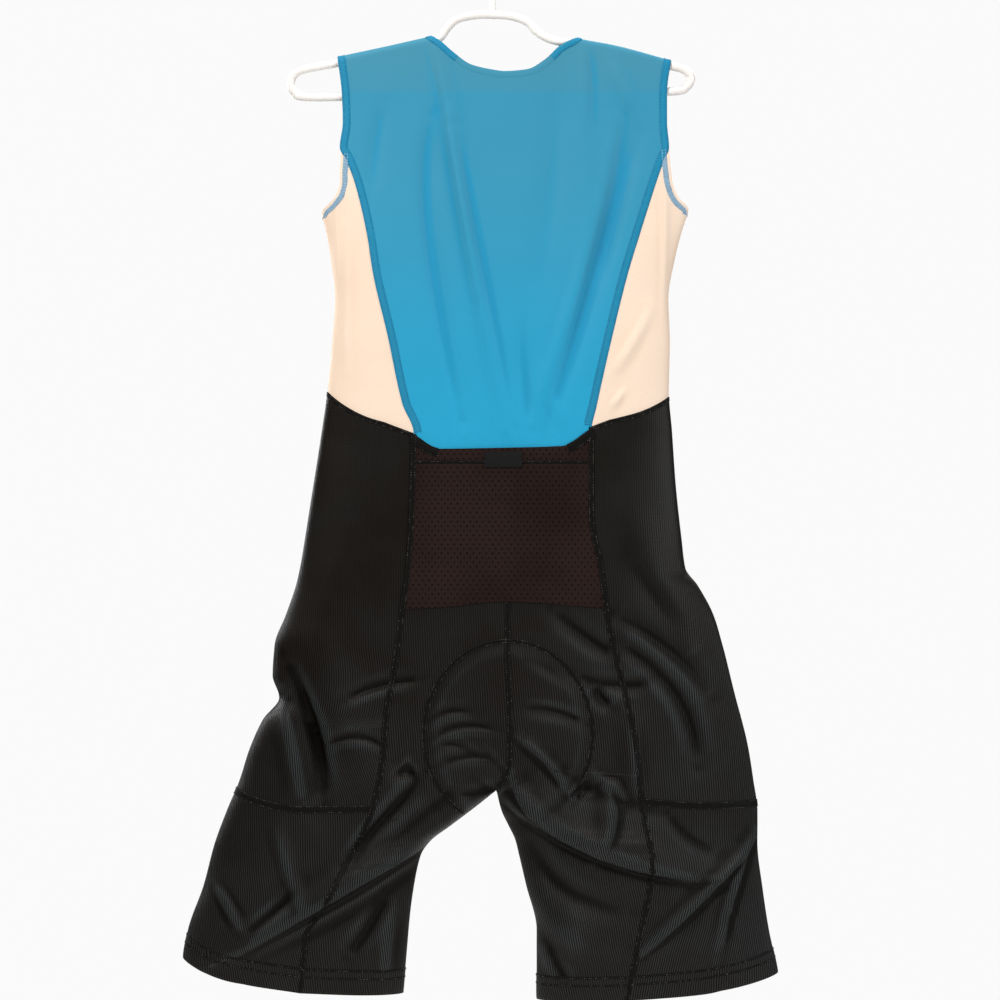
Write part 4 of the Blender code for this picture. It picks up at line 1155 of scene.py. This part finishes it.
# The rib crests' colours, brightened as painted highlight
ribbed_cloth = ribbed("ribbed_cloth", FURROW, (0.0092, 0.0083, 0.0078), WARM_TONE_AND_SHADE, COOL_TONE_AND_SHEEN)
black_cloth = ribbed("black_cloth", FURROW, (0.0088, 0.0078, 0.0072), WARM_TONE_AND_SHADE, COOL_TONE_AND_SHEEN)
mesh_cloth = mesh_knit_finish("mesh_cloth")
blue_band = band_finish("blue_band", (0.012, 0.225, 0.385), (0.010, 0.17, 0.31), 0.25)
pale_band = band_finish("pale_band", (0.24, 0.38, 0.50), (0.17, 0.28, 0.40), 0.4)
black_band = band_finish("black_band", (0.0026, 0.0022, 0.0019), (0.0072, 0.0066, 0.0060), 0.6, 0.08)
blue_thread = thread_finish("blue_thread", (0.010, 0.20, 0.38), (0.02, 0.30, 0.5))
black_thread = thread_finish("black_thread", (0.006, 0.0055, 0.005), (0.075, 0.074, 0.07))
pale_thread = thread_finish("pale_thread", (0.45, 0.58, 0.68))
woven_label = label_finish("woven_label")
white_plastic = plastic_finish("white_plastic")
coated_metal = metal_finish("coated_metal")

STITCH_ROW = stitch_tree()


def front_panel(half):
    zip_edge = ZIP_X - half.inward * ZIP_GAP
    share = 1 - np.cos(np.linspace(0, QUARTER, NECK_COLUMNS // 2 + 1))
    x = half.neck_x + (zip_edge - half.neck_x) * share
    top = joined(shoulder_edge(half, FRONT), np.stack((x, neck_front(x)), axis=-1))
    outer_z = joined(tip_heights(half, FRONT), princess_heights(half, FRONT))
    outer = np.stack((half.seam[FRONT](outer_z), outer_z), axis=-1)
    down = (outer_z - outer_z[0]) / (outer_z[-1] - outer_z[0])
    zip_top = float(neck_front(ZIP_X))
    inner = np.stack((np.full(len(down), zip_edge), zip_top + (CENTRE_WAIST - zip_top) * down), axis=-1)
    grid = blend_edges(top, waist_edge(half, FRONT, zip_edge, len(top) - 1), outer, inner)
    return shell(f"front_panel_{half.name}_cloth", grid[..., 0], grid[..., 1], FRONT, blue_cloth)


def back_panel():
    shoulders = [shoulder_edge(half, BACK) for half in HALVES]
    share = (1 - np.cos(np.linspace(0, math.pi, NECK_COLUMNS + 1))) / 2
    x = LEFT.neck_x + (RIGHT.neck_x - LEFT.neck_x) * share
    top = joined(shoulders[0], np.stack((x, neck_back(x)), axis=-1), shoulders[1][::-1])
    sides = []
    for half in HALVES:
        tail = heights(half.waist[BACK], TUCK, TUCK_ROWS)
        z = joined(tip_heights(half, BACK), princess_heights(half, BACK), tail)
        sides.append(np.stack((half.seam[BACK](z), z), axis=-1))
    half_columns = (len(top) - 1) // 2
    foot = joined(tuck_edge(LEFT, BACK, half_columns), tuck_edge(RIGHT, BACK, half_columns)[::-1])
    grid = blend_edges(top, foot, *sides)
    return shell("back_panel_cloth", grid[..., 0], grid[..., 1], BACK, blue_cloth)


def side_pieces(half):
    """The cream side, the ribbed hip below it and the lower leg, each wrapped round the side."""
    edges = [half.round_edge(ARMPIT_LINE, ARMPIT_BEND)]
    edges += [half.round_edge(line) for line in (WAIST_LINE, LEG_LINE, OUTER_HEM)]
    kinds = (
        ("side_panel", princess_heights, cream_cloth, (0, 0)),
        ("hip_panel", seat_heights, ribbed_cloth, HIP_LEAN[half.name]),
        ("lower_leg", shin_heights, ribbed_cloth, SHIN_LEAN[half.name]),
    )
    return [
        half.round_panel(name, top, foot, down(half, BACK), down(half, FRONT), finish, lean)
        for (name, down, finish, lean), top, foot in zip(kinds, edges, edges[1:])
    ]


def seat_pieces(half):
    """The seat at the back and the shorts' front, each from the side seam in to the inner leg."""
    seat_outer = joined(seat_heights(half, BACK)[TUCK_ROWS:], shin_heights(half, BACK))
    seat_inner = inner_heights(half, TUCK, SEAT_ROWS, INNER_HEM)
    seat = half.leg_panel(
        "seat", BACK, seat_outer, seat_inner, tuck_edge, INNER_HEM, black_cloth, SEAT_LEAN[half.name])
    front_outer = joined(seat_heights(half, FRONT), shin_heights(half, FRONT))
    front_inner = inner_heights(half, CENTRE_WAIST, SEAT_ROWS + TUCK_ROWS, FRONT_INNER_HEM)
    front = half.leg_panel(
        "shorts_front", FRONT, front_outer, front_inner, waist_edge, FRONT_INNER_HEM, black_cloth, (0, 0))
    return seat, front


def dress(piece, node, slot, body="garment", rests_on=()):
    """Puts a finished piece on its body in place of its solid, and reads how a sheet was cut."""
    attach(piece, body)
    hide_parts(node)
    if rests_on:
        across, down, area = cuts[piece.name]


# How the ribs lean at the top and the foot of each panel, in degrees from upright, positive to the right
HIP_LEAN = {"left": (0, -3), "right": (0, -6)}
SHIN_LEAN = {"left": (-3, -16), "right": (2, 16)}
SEAT_LEAN = {"left": (0, -9), "right": (0, -13)}
HEM_LEAN = {"left": -22, "right": 14}

# The sewn edges, in millimetres: how far each band reaches beside its seam and how proud it stands
BLUE_BAND, RIM_START, RIM_END, RIM_TAPER, NECK_BAND = 8.4, 2.8, 8.4, 0.2, 7.0
SEAM_HALF, WAIST_BAND, LEG_SEAM_HALF, PAD_SEAM_HALF, HEM_WIDTH = 2.9, 5.0, 4.0, 2.3, 26.0
SEAM_LINE = 1.9
BAND_RISE, HEM_RISE, THREAD_LIFT, HEM_LINE, HEM_LINES = 0.6, 0.45, 0.12, 1.4, (16.5, 24.5)
# A band's section from one edge to the other, as shares of its width and of its height, and the flatter one
# of bands wider than this
WIDE_BAND, WIDE_EDGE = 12.0, 22
PROFILE = ((0, -0.1), (0.1, 0.8), (0.35, 1.0), (0.65, 1.0), (0.9, 0.8), (1, -0.1))
WIDE_SHARES = (0.04, 0.14, 0.26, 0.38, 0.5, 0.62, 0.74, 0.86, 0.96)
WIDE_ROWS = [(share, 1 - abs(share - 0.5) ** 5 * WIDE_EDGE) for share in WIDE_SHARES]
WIDE_PROFILE = (PROFILE[0], *WIDE_ROWS, PROFILE[-1])
SEAM_STEP = 3.0

# The pocket over the seat, between the side seams, and its blank label
POCKET_LIFT, POCKET_EDGE, POCKET_WALL, POCKET_SAG = 1.3, 0.75, 0.6, 1.6
POCKET_MOUTH_Z, POCKET_FOLD_Z, POCKET_FOOT_Z, POCKET_FOLD, POCKET_CORNER = -527.0, -541.3, -688.0, 1.7, 8.5
POCKET_MOUTH_LINE = ((0, -514), (0.14, -528), (0.5, -527), (0.84, -525), (1, -508))
POCKET_FOOT_LINE = ((0, -692), (0.2, -689.5), (0.5, -684), (0.8, -687.5), (1, -691))
OVER_POCKET = (-506.0, -704.0)
LABEL_LEFT, LABEL_RIGHT, LABEL_TOP, LABEL_FOOT = -7.7, 30.3, -531.0, -547.0
SEAT_SEAM_TOP = -686.0
PAD_START, PAD_END = math.radians(237), math.radians(-42)


def join(name, parts, finish):
    """Several pieces of one finish made one."""
    shape = bmesh.new()
    for part in parts:
        shape.from_mesh(part.data)
        bpy.data.objects.remove(part)
    mesh = as_mesh(name, shape)
    mesh.shade_smooth()
    return add_piece(name, mesh, finish)


def steps(first, last, step=SEAM_STEP):
    return np.linspace(first, last, max(int(abs(last - first) / step), 2) + 1)


def beside(sign, near, far):
    """Two distances on one side of a line, the lower number first."""
    return sorted((near * sign, far * sign))


def over_pocket(z):
    """How far the side seams' bands stand out to lie over the pocket's edges."""
    down = np.clip((OVER_POCKET[0] - z) / 12, 0, 1) * np.clip((z - OVER_POCKET[1]) / 16, 0, 1)
    return POCKET_EDGE * down * down * (3 - 2 * down)


def long_seam(half, side, top, foot):
    """The way down one of the long seams."""
    z = steps(top, foot)
    return flat_way(side, half.seam[side](z), z)


def sewn(parts, rows, name, way, low, high, rise, finish, lines, extra=0.0, lean=None):
    """One band and its rows of stitches."""
    lift = np.broadcast_to(extra, way.u.shape)[:, None]
    parts.append(ribbon(name, way, low, high, rise, finish, extra=lift, lean=lean))
    rows += [way.at(line, rise + THREAD_LIFT + lift) for line in lines]


def blue_bands():
    """The facings of the armholes and the neck, and the bands along the seams to the cream sides."""
    parts, rows, facing = [], [], []
    for half in HALVES:
        for side in (BACK, FRONT):
            tip = float(shoulder_line(half.tip(side)))
            sign = -side * half.inward
            way = long_seam(half, side, tip - 0.8, half.waist[side] + 1)
            lines = (1.4 * sign, 7.2 * sign)
            sewn(parts, rows, "band", way, *beside(sign, 0.15, BLUE_BAND), BAND_RISE, blue_band, lines)
    for side, line in ((BACK, neck_back), (FRONT, neck_front)):
        turns = np.linspace(0.06, math.pi - 0.06, 70)
        reach = RIGHT.neck_x - LEFT.neck_x
        x = LEFT.neck_x + reach * (1 - np.cos(turns)) / 2
        spans = [x] if side == BACK else [x[x < ZIP_X - ZIP_GAP - 1], x[x > ZIP_X + ZIP_GAP + 1]]
        edges = beside(side, 0.15, NECK_BAND)
        for span in spans:
            way = flat_way(side, span, line(span))
            sewn(facing, [], "facing", way, *edges, BAND_RISE * 0.5, blue_cloth, ())
        for end in (x[x < LEFT.neck_x + reach * 0.2], x[x > RIGHT.neck_x - reach * 0.2]):
            way = flat_way(side, end, line(end))
            sewn(parts, rows, "band", way, *edges, BAND_RISE, blue_band, (side * 5.9,))
    bands, facings = join("blue_edge_bands", parts, blue_band), join("neck_facings", facing, blue_cloth)
    return bands, facings, stitches("blue_stitches", rows, blue_thread)


def armhole_rims():
    """The armholes' pale edges along the cream sides, narrower round the fold."""
    parts, rows = [], []
    for half in HALVES:
        edge = half.round_edge(ARMPIT_LINE, ARMPIT_BEND, 90)
        way = round_way(half, *edge[1:-1].T)
        from_fold = np.abs(np.linspace(-1, 1, len(way.u)))
        reach = (RIM_END - RIM_START) * (0.3 + 0.7 * np.clip(from_fold / RIM_TAPER, 0, 1))
        near, far, *lines = (half.inward * (RIM_START + reach * share) for share in (0, 1, 0.2, 0.82))
        low, high = (near, far) if half.inward > 0 else (far, near)
        sewn(parts, rows, "rim", way, low, high, BAND_RISE * 0.7, pale_band, lines)
    return join("armhole_rims", parts, pale_band), stitches("armhole_stitches", rows, pale_thread)


def black_bands():
    """The waist, side, leg and middle seams and the pad's outline."""
    parts, rows = [], []

    def seam(way, half_width, line, rise=BAND_RISE, extra=0.0):
        sewn(parts, rows, "seam", way, -half_width, half_width, rise, black_band, (-line, line), extra)

    def waist(half, way):
        edges = beside(half.inward, 0.1, WAIST_BAND)
        sewn(parts, rows, "waist", way, *edges, BAND_RISE * 0.6, black_band, [edges[0] + 1.2, edges[1] - 1.2])

    for half in HALVES:
        waist(half, round_way(half, *half.round_edge(WAIST_LINE, columns=80).T))
        seam(round_way(half, *half.round_edge(LEG_LINE, columns=90).T), LEG_SEAM_HALF, 3.0)
        for side in (BACK, FRONT):
            way = long_seam(half, side, half.waist[side] - 1, half.hem[side] + 1)
            seam(way, SEAM_HALF, SEAM_LINE, extra=over_pocket(way.v) if side == BACK else 0.0)
    for side, top in ((BACK, SEAT_SEAM_TOP), (FRONT, CENTRE_WAIST - 1)):
        z = steps(top, CROTCH_Z + 1.5)
        seam(flat_way(side, centre_seam(z), z), SEAM_HALF, SEAM_LINE)
    turns = np.linspace(PAD_START, PAD_END, 150)
    way = flat_way(BACK, PAD_X + PAD_HALF_WIDTH * np.cos(turns), PAD_Z + PAD_HALF_LENGTH * np.sin(turns))
    seam(way, PAD_SEAM_HALF, 1.6, BAND_RISE * 0.75)
    for half in HALVES:
        waist(half, flat_way(FRONT, *waist_edge(half, FRONT, columns=60).T))
    bands = join("black_seam_bands", parts, black_band)
    return bands, stitches("black_stitches", rows, black_thread, pitch=2.8)


def raised(line, up):
    """The same edge of both halves, this much higher."""
    return [(share, left + up, right + up) for share, left, right in line]


def hem_ways(half, up=0.0):
    """The ways round one leg this far above its hem, outer side, back and front.

    With each come the sign of up beside it and the lean of its ribs.
    """
    edge = half.round_edge(raised(OUTER_HEM, up), columns=90)
    yield round_way(half, *edge.T), -half.inward, HEM_LEAN[half.name]
    share = np.sin(np.linspace(0, QUARTER * 0.96, 60))
    for side, line in ((BACK, raised(INNER_HEM, up)), (FRONT, raised(FRONT_INNER_HEM, up))):
        start = float(half.seam[side](half.height(line, 0.0)))
        x = start + (float(half.inner_fold(half.height(line, 1.0))) - start) * share
        yield leg_way(half, side, x, half.height(line, share)), -side * half.inward, SEAT_LEAN[half.name][1]


def hem_bands():
    """The legs' turned-up hems, doubled cloth with two rows of stitches along their upper edge."""
    parts, bands, rows = [], [], []
    for half in HALVES:
        for way, sign, lean in hem_ways(half):
            sewn(parts, [], "hem", way, *beside(sign, 0.1, HEM_WIDTH), HEM_RISE, ribbed_cloth, (), lean=lean)
        for up in HEM_LINES:
            for way, _, _ in hem_ways(half, up):
                sewn(bands, rows, "line", way, -HEM_LINE, HEM_LINE, HEM_RISE + 0.15, black_band, (0.0,))
    doubled, lines = join("hem_bands", parts, ribbed_cloth), join("hem_lines", bands, black_band)
    return doubled, lines, stitches("hem_stitches", rows, black_thread)


def pocket_grid():
    """Places on the pocket, and how far across it their columns are."""
    across = np.linspace(0, 1, 81)
    edges = []
    for line in (POCKET_MOUTH_LINE, POCKET_FOOT_LINE):
        z = smooth(line, 1)(across)
        ends = seam_back_left(z[0]), seam_back_right(z[-1])
        edges.append(np.stack((ends[0] + (ends[1] - ends[0]) * across, z), axis=-1))
    sides = []
    for seam, end in ((seam_back_left, 0), (seam_back_right, -1)):
        z = heights(edges[0][end, 1], edges[1][end, 1], 64)
        sides.append(np.stack((seam(z), z), axis=-1))
    return blend_edges(*edges, *sides), across


def pocket_lift(across, down):
    """How far out of the seat the pocket lies, by shares of the way across and down it."""
    inward = 1 - np.clip(1 - np.minimum(across, 1 - across) / 0.08, 0, 1) ** 2
    sag = POCKET_SAG * (1 - down) ** 2 * np.sin(math.pi * across) ** 2
    return POCKET_EDGE + (POCKET_LIFT - POCKET_EDGE) * inward + sag


def pocket():
    grid, across = pocket_grid()
    lift = pocket_lift(across[None, :], np.linspace(0, 1, len(grid))[:, None])
    return shell("pocket_cloth", grid[..., 0], grid[..., 1], BACK, mesh_cloth, (0, 0), lift, POCKET_WALL)


def pocket_trim():
    """The hem's fold across the pocket's mouth, and the doubled black cloth over the mouth's two corners."""
    grid, across = pocket_grid()
    down = (POCKET_FOLD_Z - POCKET_MOUTH_Z) / (POCKET_FOOT_Z - POCKET_MOUTH_Z)
    share = np.linspace(0.02, 0.98, 70)
    level = np.full(len(share), POCKET_FOLD_Z)
    x = seam_back_left(level) + (seam_back_right(level) - seam_back_left(level)) * share
    parts, rows = [], []
    way, lift = flat_way(BACK, x, level), pocket_lift(share, down)
    sewn(parts, rows, "fold", way, -POCKET_FOLD, POCKET_FOLD, BAND_RISE, black_band, (0.0,), lift)
    for corner in (slice(0, 12), slice(-12, None)):
        way, lift = flat_way(BACK, *grid[0, corner].T), pocket_lift(across[corner], 0.0)
        lines = (-POCKET_CORNER + 1.2,)
        sewn(parts, rows, "corner", way, -POCKET_CORNER, 1.0, BAND_RISE, black_band, lines, lift)
    return join("pocket_edges", parts, black_band), stitches("pocket_stitches", rows, black_thread)


def label():
    """The blank label on the pocket's mouth."""
    x, z = np.meshgrid(np.linspace(LABEL_LEFT, LABEL_RIGHT, 40), np.linspace(LABEL_TOP, LABEL_FOOT, 18))
    on_pocket = POCKET_LIFT + POCKET_SAG * 0.86 + 0.75
    return shell("label_cloth", x, z, BACK, woven_label, (0, 0), on_pocket + 0.5, 0.4)


# across, height: the middle of the hanger's tube, clockwise from the top of its arch
HANGER_LOOP = (
    (0, -82), (20, -83.5), (36, -89.5), (45, -99), (56, -105.8), (68, -109.4), (87, -112.4), (120, -118.4),
    (169, -130.6), (184, -134.7), (197, -138.6), (204, -147), (199, -156.5), (186, -160.6), (120, -161.6),
    (0, -163.6), (-120, -165.4), (-190, -166.5), (-203, -161.5), (-207, -151.5), (-202, -142), (-190, -137.3),
    (-160, -131.6), (-99, -118.3), (-72, -112.9), (-62, -110.9), (-53, -104.8), (-46, -95), (-36, -86.5),
    (-18, -82.4),
)
HOOK_STEM = ((0, -82), (0, -70), (0.3, -60), (3.2, -50), (8, -41))

# The front zip's teeth, slider and pull tab, with its finger grooves
TOOTH_PITCH, TOOTH_WIDTH, TOOTH_LENGTH, TOOTH_RISE = 1.7, 3.0, 1.0, 0.55
SLIDER_WIDTH, SLIDER_LENGTH, SLIDER_WALL = 9.0, 12.0, 2.2
POST_WALL, POST_LENGTH, BAR_RADIUS, BAR_LIFT = 1.0, 3.0, 0.8, 2.7
EYE_OUTER, EYE_INNER, EYE_WIDTH = 1.9, 1.15, 3.6
TAB_WIDTH, TAB_LENGTH, TAB_WALL, NECK_LENGTH = 7.0, 28.0, 1.5, 7.0
GROOVES, GROOVE_PITCH, GROOVE_DEPTH, GROOVE_WIDTH = 6, 2.0, 0.25, 0.9
# Room between the zip's parts
FREE = 0.3


def through(points, count, closed):
    """A smooth path through points, with this many steps between each two."""
    points = np.array(points, float)
    total = len(points)
    path = []
    for n in range(total if closed else total - 1):
        around = [n - 1, n, n + 1, n + 2]
        around = [k % total for k in around] if closed else [min(max(k, 0), total - 1) for k in around]
        a, b, c, d = points[around]
        for t in np.arange(count) / count:
            bend = (2 * a - 5 * b + 4 * c - d) * t ** 2 + (3 * b - a - 3 * c + d) * t ** 3
            path.append((2 * b + (c - a) * t + bend) / 2)
    return np.array(path if closed else path + [points[-1]])


def rod(name, path, radius, closed, finish):
    """A round rod along a path in the hanger's plane, its open ends capped flat."""
    path = np.insert(np.asarray(path), 1, 0.0, axis=1)
    maker = curve_object(f"{name}_path", [path], closed)
    maker.data.bevel_depth = radius * MM
    maker.data.bevel_resolution = 6
    maker.data.use_fill_caps = not closed
    piece = settle(maker, name)
    shape = bmesh.new()
    shape.from_mesh(piece.data)
    bmesh.ops.remove_doubles(shape, verts=shape.verts, dist=0.00001)
    bmesh.ops.recalc_face_normals(shape, faces=shape.faces)
    shape.to_mesh(piece.data)
    shape.free()
    piece.data.materials.clear()
    piece.data.materials.append(finish)
    piece.data.shade_smooth()
    return piece


def merge(target, tool, how="UNION"):
    """A Boolean whose result stays on the target, its tool removed."""
    step = target.modifiers.new(how.lower(), "BOOLEAN")
    step.operation = how
    step.object = tool
    mesh = evaluated(target)
    target.modifiers.clear()
    target.data = mesh
    bpy.data.objects.remove(tool)
    return target


def hanger():
    """The moulded hanger: its bent loop and its hook."""
    loop = rod("hanger_tube", through(HANGER_LOOP, 8, True), TUBE / 2, True, white_plastic)
    radius = (HOOK_INSIDE + HOOK_ROD) / 2
    turns = np.linspace(HOOK_START_TURN, HOOK_END_TURN, 60)
    ring = np.stack((radius * np.cos(turns), -HOOK_INSIDE / 2 + radius * np.sin(turns)), axis=-1)
    stem = through(HOOK_STEM + (tuple(ring[0]),), 8, False)
    hook = rod("hanger_hook", joined(stem, ring), HOOK_ROD / 2, False, white_plastic)
    merge(loop, hook)
    return loop


def rounded_block(name, size, place, finish, bevel=0.5, along_x=False):
    """A box or, along X, a round bar of this size in millimetres with soft edges."""
    shape = bmesh.new()
    if along_x:
        ends = {"radius1": size[1] / 2, "radius2": size[1] / 2}
        bmesh.ops.create_cone(shape, cap_ends=True, segments=28, depth=size[0], **ends)
        bmesh.ops.rotate(shape, verts=shape.verts, matrix=Matrix.Rotation(QUARTER, 3, "Y"))
    else:
        bmesh.ops.create_cube(shape, size=1)
        bmesh.ops.scale(shape, vec=size, verts=shape.verts)
    if bevel:
        edges = [edge for edge in shape.edges if edge.calc_face_angle(0) > 0.9]
        bmesh.ops.bevel(shape, geom=edges, offset=bevel, segments=3, profile=0.6, affect="EDGES")
    bmesh.ops.translate(shape, vec=place, verts=shape.verts)
    bmesh.ops.scale(shape, vec=(MM, MM, MM), verts=shape.verts)
    bmesh.ops.recalc_face_normals(shape, faces=shape.faces)
    mesh = as_mesh(name, shape)
    soften(mesh)
    return add_piece(name, mesh, finish)


def zip_front():
    """The closed zip: its tape and two rows of teeth that mesh along the middle."""
    top = float(neck_front(ZIP_X))
    z = steps(top, CENTRE_WAIST, 2.5)
    x, z = np.meshgrid(np.linspace(ZIP_X - ZIP_GAP, ZIP_X + ZIP_GAP, 9), z)
    tape = shell("zip_tape", x, z, FRONT, zip_tape, (0, 0), 0.0, 0.8)
    places = np.arange(top - 2, CENTRE_WAIST + 2, -TOOTH_PITCH / 2)
    points, out = cloth_face(np.full(len(places), ZIP_X), places, np.full(len(places), FRONT))
    shape = bmesh.new()
    for n, (point, away) in enumerate(zip(points, out)):
        shift = TOOTH_WIDTH * (0.28 if n % 2 else -0.28)
        tooth = bmesh.ops.create_cube(shape, size=1)["verts"]
        bmesh.ops.scale(shape, vec=(TOOTH_WIDTH, 2 * TOOTH_RISE, TOOTH_LENGTH * 0.72), verts=tooth)
        bmesh.ops.translate(shape, vec=point + away * 0.2 + np.array((shift, 0, 0)), verts=tooth)
    bmesh.ops.bevel(shape, geom=shape.edges[:], offset=0.18, segments=1, affect="EDGES")
    bmesh.ops.scale(shape, vec=(MM, MM, MM), verts=shape.verts)
    return tape, add_piece("zip_teeth", as_mesh("zip_teeth", shape), coil_finish)


def slider_and_tab():
    """The slider, its bridge and bar, and the tab that hangs from the bar and lifts."""
    z = float(neck_front(ZIP_X)) - SLIDER_LENGTH
    top, foot = np.array([ZIP_X]), np.array([z - SLIDER_LENGTH / 2])
    face = float(form(top, foot, FRONT)[0][0, 1]) + ZIP_COIL + FREE
    bar_y = face + SLIDER_WALL + BAR_LIFT

    def block(name, size, bevel=0.0, x=0.0, y=bar_y, at_z=z, along_x=False):
        return rounded_block(name, size, (ZIP_X + x, y, at_z), coated_metal, bevel, along_x)

    body = block("zip_slider_body", (SLIDER_WIDTH, SLIDER_WALL, SLIDER_LENGTH), 0.7, y=face + SLIDER_WALL / 2)
    post_x = EYE_WIDTH / 2 + FREE + POST_WALL / 2
    height = SLIDER_WALL / 2 + BAR_LIFT + BAR_RADIUS
    for side in (-1, 1):
        post = (POST_WALL, height, POST_LENGTH)
        merge(body, block("post", post, 0.3, side * post_x, bar_y + BAR_RADIUS - height / 2))
    merge(body, block("bar", (2 * post_x, 2 * BAR_RADIUS, 0), along_x=True))
    tab = block("pull_tab_body", (EYE_WIDTH, 2 * EYE_OUTER, 0), 0.3, along_x=True)
    merge(tab, block("neck", (EYE_WIDTH, TAB_WALL, NECK_LENGTH), 0.3, at_z=z - NECK_LENGTH / 2))
    wide = TAB_LENGTH - NECK_LENGTH + 1
    middle = z - NECK_LENGTH + 1 - wide / 2
    merge(tab, block("wide", (TAB_WIDTH, TAB_WALL, wide), 0.6, at_z=middle))
    for n in range(GROOVES):
        for side in (-1, 1):
            size = (TAB_WIDTH - 2, 2 * GROOVE_DEPTH, GROOVE_WIDTH)
            y, at_z = bar_y + side * TAB_WALL / 2, middle - wide * 0.3 + n * GROOVE_PITCH
            merge(tab, block("groove", size, y=y, at_z=at_z), "DIFFERENCE")
    merge(tab, block("eye", (EYE_WIDTH + 2, 2 * EYE_INNER, 0), along_x=True), "DIFFERENCE")
    for piece in (body, tab):
        soften(piece.data)
    return body, tab


zip_tape = band_finish("zip_tape", (0.020, 0.020, 0.022), (0.008, 0.008, 0.009), 0.5)
coil_finish = thread_finish("zip_coil", (0.05, 0.05, 0.055))

panels = {"back_panel": back_panel(), "pocket": pocket(), "label": label()}
for half in HALVES:
    panels[f"front_panel_{half.name}"] = front_panel(half)
    for node, piece in zip(("side_panel", "hip_panel", "lower_leg"), side_pieces(half)):
        panels[f"{node}_{half.name}"] = piece
    for node, piece in zip(("seat", "shorts_front"), seat_pieces(half)):
        panels[f"{node}_{half.name}"] = piece

trims = {
    "blue_cloth": blue_bands(),
    "cream_cloth": armhole_rims(),
    "black_cloth": black_bands(),
    "ribbed_cloth": hem_bands(),
    "mesh_cloth": pocket_trim(),
}
slots = {
    "back_panel": "blue_cloth", "front_panel": "blue_cloth", "side_panel": "cream_cloth",
    "hip_panel": "ribbed_cloth", "lower_leg": "ribbed_cloth", "seat": "black_cloth",
    "shorts_front": "black_cloth", "pocket": "mesh_cloth", "label": "woven_label",
}
# What each panel hangs from, where that isn't the back panel
hangs_from = {"back_panel": "hanger_tube", "front_panel": "hanger_tube", "label": "pocket_cloth"}
hanger_piece = hanger()
tape, teeth = zip_front()
slider, tab = slider_and_tab()
for node, piece in panels.items():
    kind = node.replace("_left", "").replace("_right", "")
    dress(piece, node, slots[kind], rests_on=[hangs_from.get(kind, "back_panel_cloth")])
for slot, pieces in (*trims.items(), ("zip_coil", (tape, teeth))):
    for piece in pieces:
        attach(piece, "garment")
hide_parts("zip")
dress(hanger_piece, "hanger", "white_plastic")
dress(slider, "zip_slider", "coated_metal")
dress(tab, "pull_tab", "coated_metal", "pull_tab")

# The studio, in metres: a pale floor well below the hung suit, a large soft key and two fills
FLOOR_LEVEL, FLOOR_RADIUS = -1.32, 1.3
CAMERA_PLACE, FRAME_WIDTH, SENSOR = (0.0077, -3.0, -0.5803), 1.027, 36.0
LIGHTS = (
    ("key", (-1.25, -1.6, 1.2), 0.6, 68.0, (1.0, 0.985, 0.96)),
    ("fill", (2.0, -1.3, -0.1), 1.0, 32.0, (0.94, 0.975, 1.0)),
    ("front_key", (1.25, 1.6, 1.2), 0.6, 68.0, (1.0, 0.985, 0.96)),
    ("front_fill", (-2.0, 1.3, -0.1), 1.0, 32.0, (0.94, 0.975, 1.0)),
    ("top", (0.0, 0.0, 1.6), 1.2, 14.0, (1.0, 1.0, 1.0)),
)
MIDDLE = (0.0, 0.0, -0.58)
BACKDROP, AMBIENT = 0.96, 0.1


def stage():
    """The floor and the lamps."""
    shape = bmesh.new()
    bmesh.ops.create_circle(shape, cap_ends=True, segments=96, radius=FLOOR_RADIUS)
    bmesh.ops.translate(shape, vec=(0, 0, FLOOR_LEVEL), verts=shape.verts)
    finish = Finish("pale_floor")
    tone = finish.tone(4.0, 3.0)
    pale = finish.end(finish.mix(tone, (0.80, 0.79, 0.77), (0.86, 0.85, 0.84)), 0.8)
    floor = add_piece("floor", as_mesh("floor", shape), pale)
    floor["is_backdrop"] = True
    for name, place, size, power, colour in LIGHTS:
        lamp = bpy.data.lights.new(name, "AREA")
        lamp.shape = "DISK"
        lamp.size = size
        lamp.energy = power
        lamp.color = colour
        made = placed(name, lamp)
        made.location = place
        made.rotation_euler = (Vector(MIDDLE) - Vector(place)).to_track_quat("-Z", "Y").to_euler()


def surround():
    """A bright even backdrop for the camera and a softer one for the light it gives."""
    world = bpy.data.worlds.new("studio")
    world.use_nodes = True
    world.node_tree.nodes.clear()
    nodes = Nodes(world.node_tree)
    seen = nodes.node("ShaderNodeLightPath")
    strength = seen * (BACKDROP - AMBIENT) + AMBIENT
    light = nodes.node("ShaderNodeBackground", None, {"Color": (1.0, 1.0, 1.0, 1.0), "Strength": strength})
    nodes.node("ShaderNodeOutputWorld", None, {"Surface": light})
    bpy.context.scene.world = world


stage()
surround()
camera = bpy.data.cameras.new("camera")
camera.sensor_width = SENSOR
camera.lens = SENSOR * -CAMERA_PLACE[1] / FRAME_WIDTH
view = placed("camera", camera)
view.location = CAMERA_PLACE
view.rotation_euler = (QUARTER, 0, 0)
bpy.context.scene.camera = view
bpy.context.scene.view_settings.view_transform = "Standard"

boxes = {"cad": cad_box, "visual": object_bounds()}
{name: [list(corner) for corner in box] for name, box in boxes.items()}
